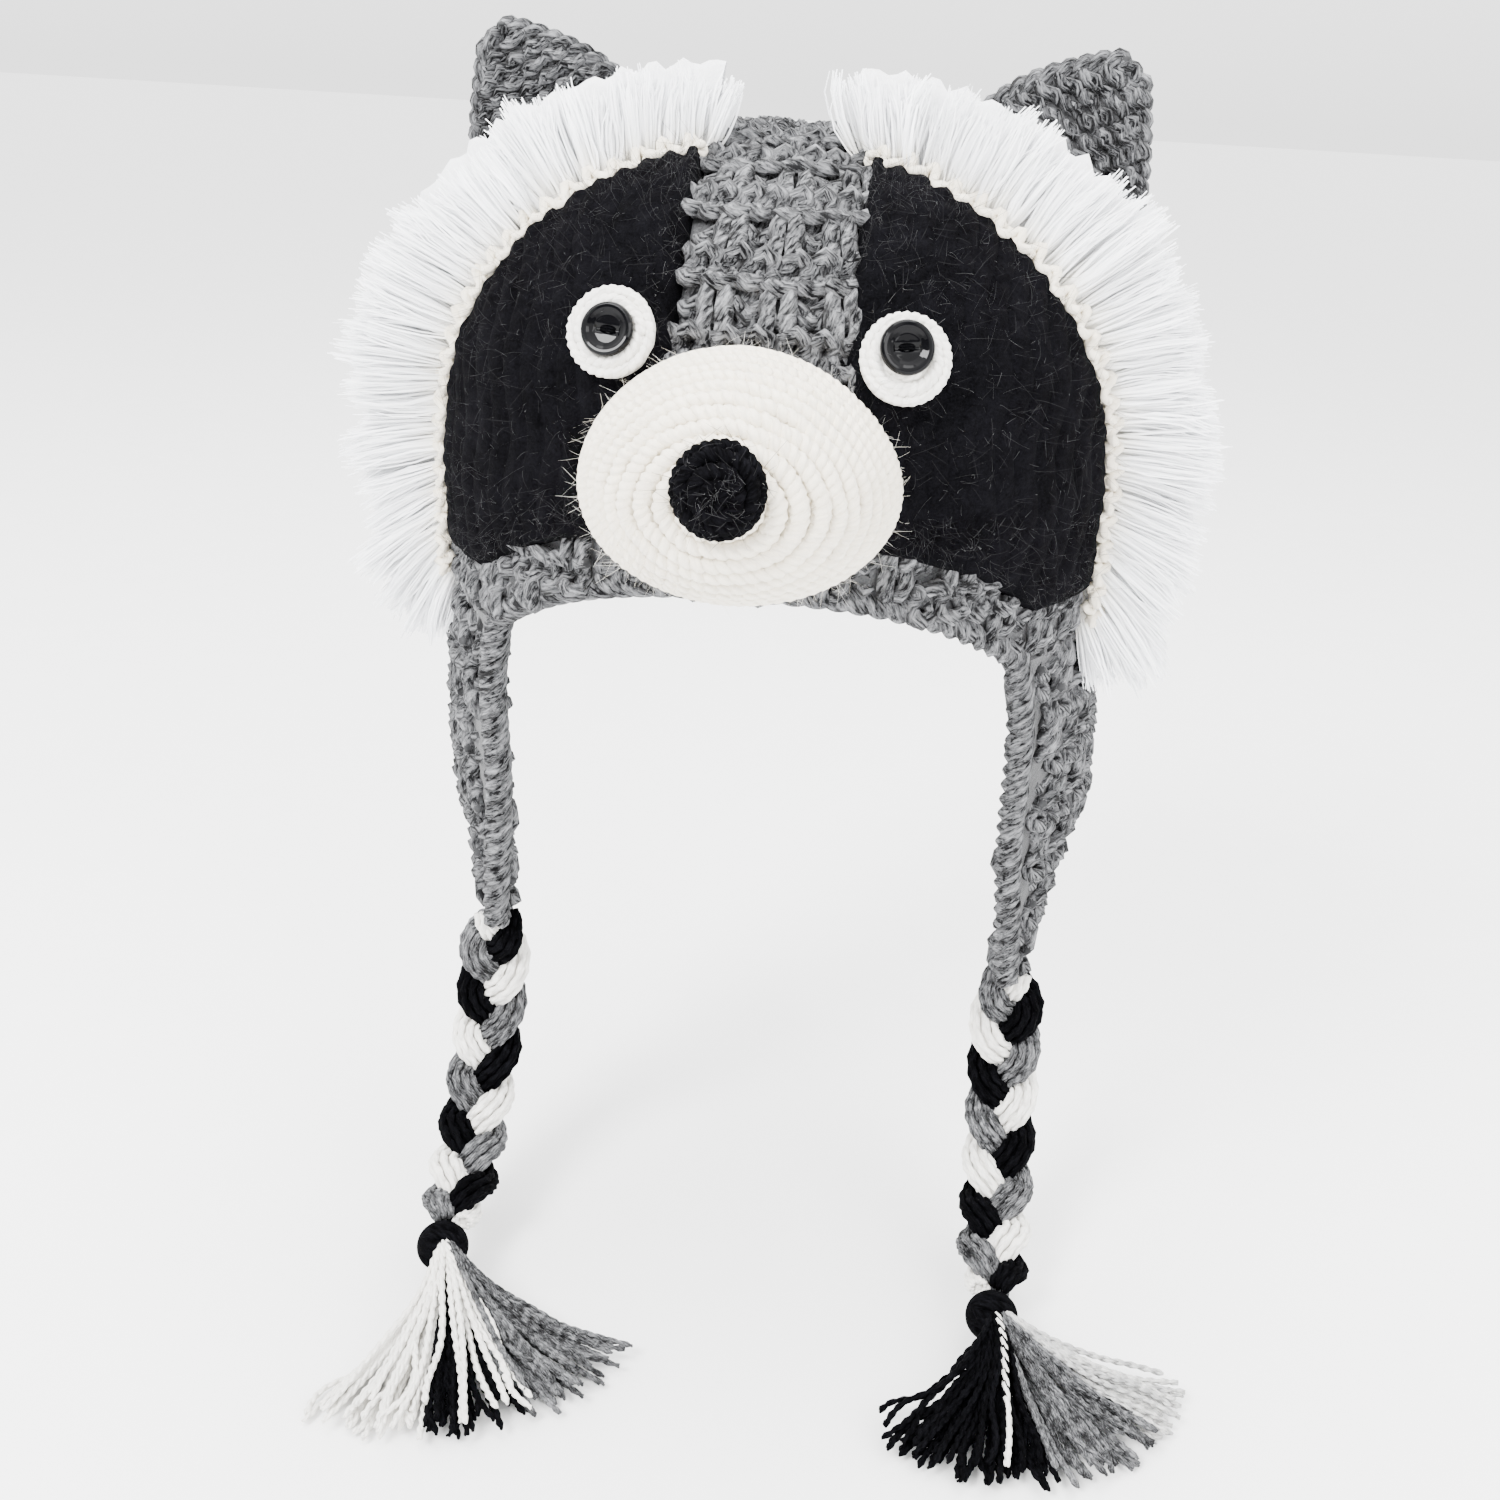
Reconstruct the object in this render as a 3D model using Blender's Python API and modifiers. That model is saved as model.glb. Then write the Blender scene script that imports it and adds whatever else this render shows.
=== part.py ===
"""A knitted raccoon hat with ear flaps, braided ties and yarn tassels.

Units are metres and +Z is up. The face looks along -Y, and the origin is the top of the head hollow.
Left and right are as seen from the front, so left is -X. The hat keeps the form that a head gives it.
"""

import math

import bmesh
import bpy
import numpy as np
from mathutils import Vector

# Head hollow
HEAD_HALF_WIDTH = 0.087
HEAD_HALF_DEPTH = 0.098
HEAD_HEIGHT = 0.076
DOME_POWER = 2.6

# Crown, whose skirt below the widest level ends in a rim that is an arch over the face
KNIT_WALL = 0.005
FRONT_SKIRT = 0.020
SIDE_SKIRT = 0.043
BACK_SKIRT = 0.049
RIM_FRONT_DROP = HEAD_HEIGHT + FRONT_SKIRT
RIM_SIDE_DROP = HEAD_HEIGHT + SIDE_SKIRT
RIM_BACK_DROP = HEAD_HEIGHT + BACK_SKIRT
ARCH_ANGLE = 50.0
ARCH_POWER = 2.2

# Ear flaps
FLAP_BACK_ANGLE = 110.0
FLAP_TIP_WIDTH = 0.016
FLAP_TIP_SET_BACK = -0.012
FLAP_FLARE = 0.011
FLAP_TIP_TUCK = 0.0075
FLAP_LENGTHS = {"left": 0.114, "right": 0.1175}
FLAP_TAPER_POWER = 1.15
FLAP_FRONT_SHARE = 0.3
FLAP_SEAM_SHARE = 0.25
FLAP_ROUND_SHARE = 0.9
FLAP_ROUND_DEPTH = 0.18

# Eye patches
PATCH_THICKNESS = 0.0045
STRIP_WIDTH = 0.040
PATCH_SIDE_PLANE = 0.040
PATCH_BOW = 0.017
PATCH_CORNER_SHARE = 0.02
RIM_BAND = 0.013

# Fur trims
FUR_LENGTH = 0.035
FUR_THICKNESS = 0.013
FUR_TOP_INSET = 0.001
FUR_END_RAISE = 0.007
FUR_END_DROP = RIM_SIDE_DROP - FUR_END_RAISE
FUR_LOCKS = 9
FUR_NOTCH_SHARE = 0.10
FUR_WAVE = 0.003

# Ears
EAR_ANGLE = 98.0
EAR_INNER_SHARE = 0.22
EAR_OUTER_SHARE = 0.74
EAR_TIP_OUT = 0.087
EAR_TIP_BACK = 0.008
EAR_TIP_HEIGHT = 0.0265
EAR_THICKNESS = 0.008
EAR_TIP_WIDTH = 0.009
EAR_BULGE = 0.013
EAR_EDGE_SHARE = 0.55

# Snout
MUZZLE_WIDTH = 0.0745
MUZZLE_HEIGHT = 0.0563
MUZZLE_DEPTH = 0.039
MUZZLE_RAISE = 0.0092
MUZZLE_DROP = HEAD_HEIGHT - MUZZLE_RAISE
MUZZLE_SHIFT = -0.0025
MUZZLE_POWER = 2.7
MUZZLE_EGG = 0.14
NOSE_DIAMETER = 0.019
NOSE_DEPTH = 0.007
NOSE_RAISE = 0.0045
NOSE_POWER = 2.6
NOSE_EDGE_SHARE = 0.15

# Eyes
EYE_DISC_DIAMETER = 0.021
EYE_DISC_THICKNESS = 0.0035
EYE_DISC_ROUNDING = 0.4
BUTTON_DIAMETER = 0.0127
BUTTON_THICKNESS = 0.0028
BUTTON_HOLE_DIAMETER = 0.0015
BUTTON_HOLE_SPACING = 0.0032

# Columns: side, distance from the middle, height above the widest level, the button's rise on its disc
EYES = (
    ("left", 0.0332, 0.0368, 0.0),
    ("right", 0.0325, 0.0354, 0.0022),
)

# Braided ties, with the route of the right one from the tip of its flap
STRAND_DIAMETER = 0.0055
BRAID_SWING = 0.0070
BRAID_DEPTH = 0.0054
BRAID_PITCH = 0.0445
BRAID_GATHER = 0.78
BRAID_GATHER_SHARE = 0.12
BRAID_STRAIGHT_SHARE = 0.06
TIE_ROUTE = (
    (0.0, 0.0, 0.0),
    (0.0008, 0.0, -0.020),
    (0.0016, -0.002, -0.036),
    (0.0020, -0.008, -0.050),
    (0.0020, -0.021, -0.066),
    (0.0016, -0.037, -0.075),
    (0.0012, -0.055, -0.080),
)
KNOT_RADIUS = 0.0085
KNOT_HALF_HEIGHT = 0.0075
KNOT_GROOVE_SHARE = 0.05

# Tassels, which lie on the table in front of the ties
TASSEL_THICKNESS = 0.012
TASSEL_LOCKS = 8
TASSEL_NOTCH_SHARE = 0.12
TASSEL_NOTCH_THINNING = 0.3
TASSEL_DROOP = 0.007

# Clearances
SEWN_GAP = 0.0006
SEAT_GAP = 0.0004
MERGE_DISTANCE = 0.000001

# Facets
CROWN_COLUMNS = 36
DOME_ROWS = 10
BAND_ROWS = 3
STRAND_POINTS = 25

# Columns: share of the trim's arc, direction of the hair in degrees above outward, share of its length
FUR_FAN = (
    (0.00, 99, 0.80),
    (0.20, 72, 0.91),
    (0.38, 50, 1.00),
    (0.54, 28, 1.03),
    (0.69, 7, 1.00),
    (0.87, -26, 0.96),
    (0.94, -48, 0.98),
    (1.00, -72, 0.60),
)

# Columns: share of the height from the seat, share of half the thickness
FUR_SECTION = ((0, -0.7), (0.4, -1), (0.8, -0.8), (1, -0.35), (1, 0.35), (0.8, 0.8), (0.4, 1), (0, 0.7))
EAR_SECTION = ((0, -0.8), (0.35, -1), (0.7, -0.8), (1, -0.5), (1, 0.5), (0.7, 0.8), (0.35, 1), (0, 0.8))
TASSEL_SECTION = ((0, -0.6), (0.25, -1), (0.65, -0.8), (1, -0.4), (1, 0.4), (0.65, 0.8), (0.25, 1), (0, 0.6))

# Columns: share of the button's radius, share of its thickness, from the middle of the face to the back
BUTTON_PROFILE = (
    (0, 0.62),
    (0.52, 0.66),
    (0.72, 0.95),
    (0.88, 1),
    (1, 0.72),
    (0.97, 0.35),
    (0.75, 0),
    (0, 0),
)

# Columns: side, direction of the fan's middle in degrees from outward, half its spread, length
TASSEL_FANS = (
    ("left", -114.0, 47.0, 0.070),
    ("right", -69.0, 60.0, 0.062),
)
SIDES = {"left": -1, "right": 1}
BRAID_COLOURS = {"left": ("white", "grey", "black"), "right": ("black", "white", "grey")}


def material(name, colour, roughness, metallic=0.0):
    """A Principled material of one colour."""
    made = bpy.data.materials.new(name)
    made.use_nodes = True
    made.diffuse_color = (*colour, 1.0)
    shader = made.node_tree.nodes["Principled BSDF"]
    shader.inputs["Base Color"].default_value = (*colour, 1.0)
    shader.inputs["Roughness"].default_value = roughness
    shader.inputs["Metallic"].default_value = metallic
    return made


def add(collection, name, data, finish):
    """An object of the hat, smooth over its gentle edges."""
    data.materials.append(finish)
    thing = bpy.data.objects.new(name, data)
    collection.objects.link(thing)
    if thing.type == "MESH":
        data.shade_smooth()
        data.set_sharp_from_angle(angle=math.radians(50))
    return thing


def skin(name, columns, rows, place, side=1, closed=False):
    """A grid bent so that its point at the shares u and v is place(u, v), mirrored for the left side."""
    form = bmesh.new()
    bmesh.ops.create_grid(form, x_segments=columns, y_segments=rows, size=0.5)
    for vert in form.verts:
        x, y, z = place(vert.co.x + 0.5, vert.co.y + 0.5)
        vert.co = (side * x, y, z)
    bmesh.ops.remove_doubles(form, verts=form.verts, dist=MERGE_DISTANCE)
    if closed:
        bmesh.ops.holes_fill(form, edges=form.edges)
        bmesh.ops.recalc_face_normals(form, faces=form.faces)
    elif side < 0:
        bmesh.ops.reverse_faces(form, faces=form.faces)
    mesh = bpy.data.meshes.new(name)
    form.to_mesh(mesh)
    form.free()
    return mesh


def blade(name, columns, section, place, side=1):
    """A closed strip: place(u, height, thick) gives the point of the section that stands at the share u."""

    def on_section(u, v):
        height, thick = section[round(v * len(section)) % len(section)]
        return place(u, height, thick)

    return skin(name, columns, len(section), on_section, side, closed=True)


def thicken(thing, thickness, offset):
    """A wall of this thickness from an open surface, outward where offset is 1."""
    wall = thing.modifiers.new("Wall", "SOLIDIFY")
    wall.thickness = thickness
    wall.offset = offset
    wall.use_even_offset = True


def ease(share):
    """A smooth step from 0 to 1."""
    share = min(max(share, 0.0), 1.0)
    return share * share * (3 - 2 * share)


def rim_height(angle):
    """The rim's height: an arch over the face, then level with a slow fall to the nape."""
    turned = abs((angle + 180) % 360 - 180)
    arch = min(turned / ARCH_ANGLE, 1.0) ** ARCH_POWER
    nape = ease((turned - ARCH_ANGLE) / (180.0 - ARCH_ANGLE))
    drop = RIM_FRONT_DROP + (RIM_SIDE_DROP - RIM_FRONT_DROP) * arch
    return -drop - (RIM_BACK_DROP - RIM_SIDE_DROP) * nape


def dome_radius(level):
    """The dome's radius at this level, as a share of its widest."""
    return math.sin(min(level, 1.0) * math.pi / 2) ** (2 / DOME_POWER)


def dome_level(radius):
    """The level at which the dome has this share of its widest radius."""
    return math.asin(min(radius, 1.0) ** (DOME_POWER / 2)) * 2 / math.pi


def head_point(angle, level, out):
    """A point out from the head hollow. Angle 0 is the front and 90 the right side, in degrees.

    Level 0 is the top, 1 the widest level, and 2 the rim.
    """
    radius = dome_radius(level)
    turn = math.radians(angle)
    x = (HEAD_HALF_WIDTH + out) * radius * math.sin(turn)
    y = -(HEAD_HALF_DEPTH + out) * radius * math.cos(turn)
    if level <= 1:
        rise = max(math.cos(level * math.pi / 2), 0.0) ** (2 / DOME_POWER)
        return x, y, (HEAD_HEIGHT + out) * rise - HEAD_HEIGHT
    return x, y, -HEAD_HEIGHT + (level - 1) * (rim_height(angle) + HEAD_HEIGHT)


def head_normal(angle, level, out):
    """The direction out of the head form."""
    step = 0.01
    here = Vector(head_point(angle, level, out))
    across = Vector(head_point(angle + step, level, out)) - here
    down = here - Vector(head_point(angle, level + step, out))
    return across.cross(down).normalized()


def face_depth(x, z, out):
    """How far in front of the origin the head form is at this place of the face."""
    rise = max(z + HEAD_HEIGHT, 0.0) / (HEAD_HEIGHT + out)
    radius = (1 - rise**DOME_POWER) ** (1 / DOME_POWER)
    side = x / (HEAD_HALF_WIDTH + out)
    return (HEAD_HALF_DEPTH + out) * math.sqrt(radius**2 - side**2)


def make_crown(collection, grey):
    rows = DOME_ROWS + BAND_ROWS

    def place(u, v):
        row = (1 - v) * rows
        level = row / DOME_ROWS if row <= DOME_ROWS else 1 + (row - DOME_ROWS) / BAND_ROWS
        return head_point(360 * u, level, 0)

    crown = add(collection, "crown", skin("crown", CROWN_COLUMNS, rows, place), grey)
    thicken(crown, KNIT_WALL, 1)


def flap_tip(side_name):
    """The middle of the flap's lower end, as on the right side."""
    x = HEAD_HALF_WIDTH + KNIT_WALL / 2 - FLAP_TIP_TUCK
    return Vector((x, FLAP_TIP_SET_BACK, -RIM_SIDE_DROP - FLAP_LENGTHS[side_name]))


def make_ear_flap(collection, side_name, grey):
    tip = flap_tip(side_name)

    def place(u, v):
        down = 1 - v
        angle = ARCH_ANGLE + (FLAP_BACK_ANGLE - ARCH_ANGLE) * u
        x, y, z = head_point(angle, 2, 0)
        across = 2 * u - 1
        narrow = (1 - down) ** FLAP_TAPER_POWER
        rounding = max(down - FLAP_ROUND_SHARE, 0) / FLAP_ROUND_DEPTH
        round_end = math.sqrt(max(1 - rounding**2, 0))
        tip_y = tip.y + across * FLAP_TIP_WIDTH / 2 * round_end
        y = tip_y + (y - tip_y) * narrow
        side_x = HEAD_HALF_WIDTH * math.sqrt(max(1 - (y / HEAD_HALF_DEPTH) ** 2, 0))
        x += (side_x - x) * ease(down / FLAP_SEAM_SHARE)
        x += FLAP_FLARE * (u - FLAP_FRONT_SHARE * (1 - u)) * math.sin(math.pi * down) ** 2
        x -= FLAP_TIP_TUCK * ease(down)
        top = z - SEAT_GAP
        return x, y, top + (tip.z - top) * down

    name = f"ear_flap_{side_name}"
    flap = add(collection, name, skin(name, 9, 12, place, SIDES[side_name]), grey)
    thicken(flap, KNIT_WALL, 1)


def side_edge(level, out):
    """How far in front of the middle the patch's outer edge runs: it bows forward between its ends."""
    first = dome_level(STRIP_WIDTH / 2 / (HEAD_HALF_WIDTH + out))
    share = min(max((level - first) / (1 - first), 0), 1)
    return PATCH_SIDE_PLANE + PATCH_BOW * math.sin(math.pi * share)


def top_level(half_strip, plane, out):
    """The level at which the strip's edge meets the patch's outer edge."""
    level = 0.0
    while level < 1:
        edge = plane + side_edge(level, out) - PATCH_SIDE_PLANE
        reach = math.hypot(half_strip / (HEAD_HALF_WIDTH + out), edge / (HEAD_HALF_DEPTH + out))
        if dome_radius(level) >= reach:
            break
        level += 0.002
    return level


def make_eye_patch(collection, side_name, black):
    out = KNIT_WALL + SEWN_GAP
    across = HEAD_HALF_WIDTH + out
    along = HEAD_HALF_DEPTH + out
    dome_rows, band_rows = 8, 2
    rows = dome_rows + band_rows
    first = top_level(STRIP_WIDTH / 2, PATCH_SIDE_PLANE, out) + PATCH_CORNER_SHARE

    def place(u, v):
        row = (1 - v) * rows
        level = first + (1 - first) * min(row / dome_rows, 1)
        radius = dome_radius(level)
        inner = math.degrees(math.asin(min(STRIP_WIDTH / 2 / (across * radius), 1)))
        outer = math.degrees(math.acos(min(side_edge(level, out) / (along * radius), 1)))
        angle = inner + (outer - inner) * u
        x, y, z = head_point(angle, level, out)
        band = max(row - dome_rows, 0) / band_rows
        return x, y, z + band * (rim_height(angle) + RIM_BAND + HEAD_HEIGHT)

    name = f"eye_patch_{side_name}"
    patch = add(collection, name, skin(name, 10, rows, place, SIDES[side_name]), black)
    thicken(patch, PATCH_THICKNESS, 1)


def side_arc(plane, out):
    """Points along the patch's outer edge, moved to this plane, from the strip to the fur's end."""
    across, along = HEAD_HALF_WIDTH + out, HEAD_HALF_DEPTH + out
    first = top_level(STRIP_WIDTH / 2 - FUR_TOP_INSET, plane, out)
    points = []
    for step in range(61):
        level = first + (1 - first) * step / 60
        edge = plane + side_edge(level, out) - PATCH_SIDE_PLANE
        x = across * math.sqrt(max(dome_radius(level) ** 2 - (edge / along) ** 2, 0))
        points.append((x, -edge, head_point(0, level, out)[2]))
    points.append((x, -plane, -FUR_END_DROP))
    return np.array(points)


def along_path(points, share):
    """The point at this share of a path's length."""
    steps = np.linalg.norm(np.diff(points, axis=0), axis=1)
    reach = np.concatenate([[0], np.cumsum(steps)])
    return np.array([np.interp(share * reach[-1], reach, points[:, axis]) for axis in range(3)])


def lock_wave(share, locks):
    """0 in the middle of each lock and 1 in the notch between two locks."""
    return abs(math.cos(math.pi * locks * share)) ** 3


def make_fur_trim(collection, side_name, white):
    middle = PATCH_SIDE_PLANE - SEWN_GAP - FUR_THICKNESS / 2
    out = KNIT_WALL + SEWN_GAP
    shares, directions, lengths = np.array(FUR_FAN).T

    def place(u, height, thick):
        plane = middle - thick * FUR_THICKNESS / 2
        seat = along_path(side_arc(plane, out), u)
        direction = math.radians(np.interp(u, shares, directions))
        notch = 1 - FUR_NOTCH_SHARE * lock_wave(u, FUR_LOCKS) * height
        reach = FUR_LENGTH * np.interp(u, shares, lengths) * notch * height
        wave = FUR_WAVE * math.sin(2 * math.pi * FUR_LOCKS / 2 * u) * height**2
        x, y, z = seat
        return x + reach * math.cos(direction), y + wave, z + reach * math.sin(direction)

    name = f"fur_trim_{side_name}"
    add(collection, name, blade(name, 4 * FUR_LOCKS, FUR_SECTION, place, SIDES[side_name]), white)


def make_ear(collection, side_name, grey):
    tip = Vector((EAR_TIP_OUT, EAR_TIP_BACK, EAR_TIP_HEIGHT))
    levels = EAR_INNER_SHARE, EAR_OUTER_SHARE
    out = KNIT_WALL + SEWN_GAP
    ends = [Vector(head_point(EAR_ANGLE, level, out)) for level in levels]
    edge = (ends[1] - ends[0]).normalized()

    def place(u, height, thick):
        seat = Vector(head_point(EAR_ANGLE, levels[0] + (levels[1] - levels[0]) * u, out))
        top = tip + edge * EAR_TIP_WIDTH * (u - 0.5)
        point = seat.lerp(top, height) + edge * EAR_BULGE * (u - 0.5) * math.sin(math.pi * height)
        puff = EAR_EDGE_SHARE + (1 - EAR_EDGE_SHARE) * math.sqrt(max(1 - (2 * u - 1) ** 2, 0))
        return point.x, point.y + thick * EAR_THICKNESS / 2 * puff, point.z

    name = f"ear_{side_name}"
    add(collection, name, blade(name, 8, EAR_SECTION, place, SIDES[side_name]), grey)


def muzzle_seat(x, z):
    """The depth of the muzzle's back, which lies on the patches, at x and z from the muzzle's middle."""
    out = KNIT_WALL + SEWN_GAP + PATCH_THICKNESS
    return face_depth(x + MUZZLE_SHIFT, z - MUZZLE_DROP, out) + SEWN_GAP


def muzzle_half_width(up):
    """Half the muzzle's width at this share of its half height: it is wider below."""
    return MUZZLE_WIDTH / 2 * (1 - MUZZLE_EGG * up)


def muzzle_front(x, z):
    """The depth of the snout's surface at x and z from the muzzle's middle."""
    up = z / (MUZZLE_HEIGHT / 2)
    reach = math.hypot(x / muzzle_half_width(up), up)
    return muzzle_seat(x, z) + MUZZLE_DEPTH * max(1 - reach**MUZZLE_POWER, 0) ** 0.5


def make_muzzle(collection, cream):
    front_rows, back_rows = 7, 3
    rows = front_rows + back_rows

    def place(u, v):
        row = round(v * rows)
        front = row <= front_rows
        share = math.sin(row / front_rows * math.pi / 2) if front else (rows - row) / back_rows
        across, up = share * math.sin(2 * math.pi * u), share * math.cos(2 * math.pi * u)
        x, z = across * muzzle_half_width(up), up * MUZZLE_HEIGHT / 2
        depth = muzzle_front(x, z) if front else muzzle_seat(x, z)
        return x + MUZZLE_SHIFT, -depth, z - MUZZLE_DROP

    add(collection, "muzzle", skin("muzzle", 24, rows, place, closed=True), cream)


def make_nose(collection, black):
    rows = 8

    def place(u, v):
        row = round(v * rows)
        share = math.sin(min(row, rows - row) / (rows / 2) * math.pi / 2)
        x = share * math.sin(2 * math.pi * u) * NOSE_DIAMETER / 2
        z = share * math.cos(2 * math.pi * u) * NOSE_DIAMETER / 2 + NOSE_RAISE
        depth = muzzle_front(x, z) + SEWN_GAP
        height = NOSE_DEPTH * (1 - share**NOSE_POWER) ** 0.5 if row < rows / 2 else 0
        edge = NOSE_DEPTH * NOSE_EDGE_SHARE if row == rows / 2 else 0
        return x + MUZZLE_SHIFT, -(depth + height + edge), z - MUZZLE_DROP

    add(collection, "nose", skin("nose", 14, rows, place, closed=True), black)


def eye_frame(side_name, x, height):
    """The middle of the eye on the patch's face, and the direction out of the patch there."""
    out = KNIT_WALL + SEWN_GAP + PATCH_THICKNESS
    z = height - HEAD_HEIGHT
    y = -face_depth(x, z, out)
    rise = height / (HEAD_HEIGHT + out)
    level = dome_level((1 - rise**DOME_POWER) ** (1 / DOME_POWER))
    angle = math.degrees(math.atan2(x / (HEAD_HALF_WIDTH + out), -y / (HEAD_HALF_DEPTH + out)))
    normal = head_normal(angle, level, out)
    side = SIDES[side_name]
    centre = Vector((side * x, y, z))
    return centre, Vector((side * normal.x, normal.y, normal.z))


def set_on(thing, centre, normal):
    """Stands the object at centre with its local Z along normal."""
    thing.location = centre
    thing.rotation_mode = "QUATERNION"
    thing.rotation_quaternion = normal.to_track_quat("Z", "X")


def make_eye_disc(collection, side_name, x, height, white):
    name = f"eye_disc_{side_name}"
    form = bmesh.new()
    radius = EYE_DISC_DIAMETER / 2
    bmesh.ops.create_cone(
        form, cap_ends=True, segments=20, radius1=radius, radius2=radius, depth=EYE_DISC_THICKNESS
    )
    mesh = bpy.data.meshes.new(name)
    form.to_mesh(mesh)
    form.free()
    disc = add(collection, name, mesh, white)
    centre, normal = eye_frame(side_name, x, height)
    set_on(disc, centre + normal * (SEAT_GAP + EYE_DISC_THICKNESS / 2), normal)
    edge = disc.modifiers.new("Round edge", "BEVEL")
    edge.width = EYE_DISC_THICKNESS * EYE_DISC_ROUNDING
    edge.segments = 1
    edge.limit_method = "ANGLE"


def make_eye_button(collection, cutters, side_name, x, height, rise, gloss):
    name = f"eye_button_{side_name}"
    mesh = bpy.data.meshes.new(name)
    profile = [(r * BUTTON_DIAMETER / 2, 0, z * BUTTON_THICKNESS) for r, z in BUTTON_PROFILE]
    edges = [(step, step + 1) for step in range(len(profile) - 1)]
    mesh.from_pydata(profile, edges, [])
    button = add(collection, name, mesh, gloss)
    centre, normal = eye_frame(side_name, x, height)
    across = normal.cross(Vector((0, 0, 1))).normalized()
    seat = centre + normal * (SEAT_GAP + EYE_DISC_THICKNESS + SEAT_GAP) + across.cross(normal) * rise
    set_on(button, seat, normal)
    turned = button.modifiers.new("Turned", "SCREW")
    turned.steps = turned.render_steps = 18
    turned.use_merge_vertices = True
    turned.merge_threshold = 0.00001
    turned.use_smooth_shade = True
    for hole, place in enumerate((-0.5, 0.5)):
        form = bmesh.new()
        radius = BUTTON_HOLE_DIAMETER / 2
        depth = BUTTON_THICKNESS * 4
        bmesh.ops.create_cone(form, cap_ends=True, segments=8, radius1=radius, radius2=radius, depth=depth)
        drill_mesh = bpy.data.meshes.new(f"{name}_hole_{hole}")
        form.to_mesh(drill_mesh)
        form.free()
        drill = bpy.data.objects.new(drill_mesh.name, drill_mesh)
        cutters.objects.link(drill)
        set_on(drill, seat + across * place * BUTTON_HOLE_SPACING, normal)
        drill.hide_render = True
        drill.display_type = "WIRE"
        bore = button.modifiers.new(f"Thread hole {hole}", "BOOLEAN")
        bore.operation = "DIFFERENCE"
        bore.object = drill


def smooth_path(points, count):
    """This many evenly spaced points on a smooth curve through the given points."""
    given = np.array(points)
    ends = np.vstack([2 * given[0] - given[1], given, 2 * given[-1] - given[-2]])
    fine = []
    for index in range(1, len(given)):
        before, start, end, after = ends[index - 1 : index + 3]
        for share in np.linspace(0, 1, 24, endpoint=index == len(given) - 1):
            bend = 2 * before - 5 * start + 4 * end - after
            twist = -before + 3 * start - 3 * end + after
            fine.append(0.5 * (2 * start + (end - before) * share + bend * share**2 + twist * share**3))
    fine = np.array(fine)
    return np.array([along_path(fine, share) for share in np.linspace(0, 1, count)])


def tie_path(side_name):
    """The middle of the braid, as on the right side, from just below the flap's tip."""
    start = np.array(flap_tip(side_name)) - (0, 0, SEAT_GAP)
    return smooth_path([start + np.array(step) for step in TIE_ROUTE], STRAND_POINTS)


def make_braid(collection, side_name, finishes):
    """Three strands that swing across and pass in front of each other by turns, parallel at both ends."""
    path = tie_path(side_name)
    length = np.linalg.norm(np.diff(path, axis=0), axis=1).sum()
    turns = length / BRAID_PITCH
    ahead = np.gradient(path, axis=0)
    ahead /= np.linalg.norm(ahead, axis=1)[:, None]
    for order, colour in enumerate(BRAID_COLOURS[side_name]):
        curve = bpy.data.curves.new(f"braid_{side_name}_{colour}", "CURVE")
        curve.dimensions = "3D"
        curve.bevel_depth = STRAND_DIAMETER / 2
        curve.bevel_resolution = 2
        curve.use_fill_caps = True
        strand = curve.splines.new("POLY")
        strand.points.add(STRAND_POINTS - 1)
        for index, (centre, along) in enumerate(zip(path, ahead)):
            share = index / (STRAND_POINTS - 1)
            inner = (share - BRAID_STRAIGHT_SHARE) / (1 - 2 * BRAID_STRAIGHT_SHARE)
            phase = 2 * math.pi * (turns * min(max(inner, 0), 1) + order / 3)
            across = np.array((1.0, 0.0, 0.0)) - along * along[0]
            across /= np.linalg.norm(across)
            front = np.cross(across, along)
            spread = ease(min(share, 1 - share) / BRAID_GATHER_SHARE)
            gather = BRAID_GATHER + (1 - BRAID_GATHER) * spread
            swing = across * BRAID_SWING * math.sin(phase) + front * BRAID_DEPTH * math.sin(2 * phase)
            x, y, z = centre + swing * gather
            strand.points[index].co = (SIDES[side_name] * x, y, z, 1)
        add(collection, curve.name, curve, finishes[colour])


def knot_centre(side_name):
    """The knot's middle, just past the braid's end."""
    path = tie_path(side_name)
    along = Vector(path[-1] - path[-2]).normalized()
    return Vector(path[-1]) + along * (SEAT_GAP + KNOT_RADIUS)


def make_tie_knot(collection, side_name, black):
    """A ball of wound yarn, with a shallow groove between the windings."""
    centre = knot_centre(side_name)
    name = f"tie_knot_{side_name}"
    rows = 8

    def place(u, v):
        tilt, turn = math.pi * (v - 0.5), 2 * math.pi * u
        wound = 1 - KNOT_GROOVE_SHARE * math.cos(3 * turn) ** 2 * math.cos(tilt)
        flat = math.cos(tilt) * KNOT_RADIUS * wound
        rise = math.sin(tilt) * KNOT_HALF_HEIGHT
        return centre.x + flat * math.cos(turn), centre.y + flat * math.sin(turn), centre.z + rise

    add(collection, name, skin(name, 12, rows, place, SIDES[side_name], closed=True), black)


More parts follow.
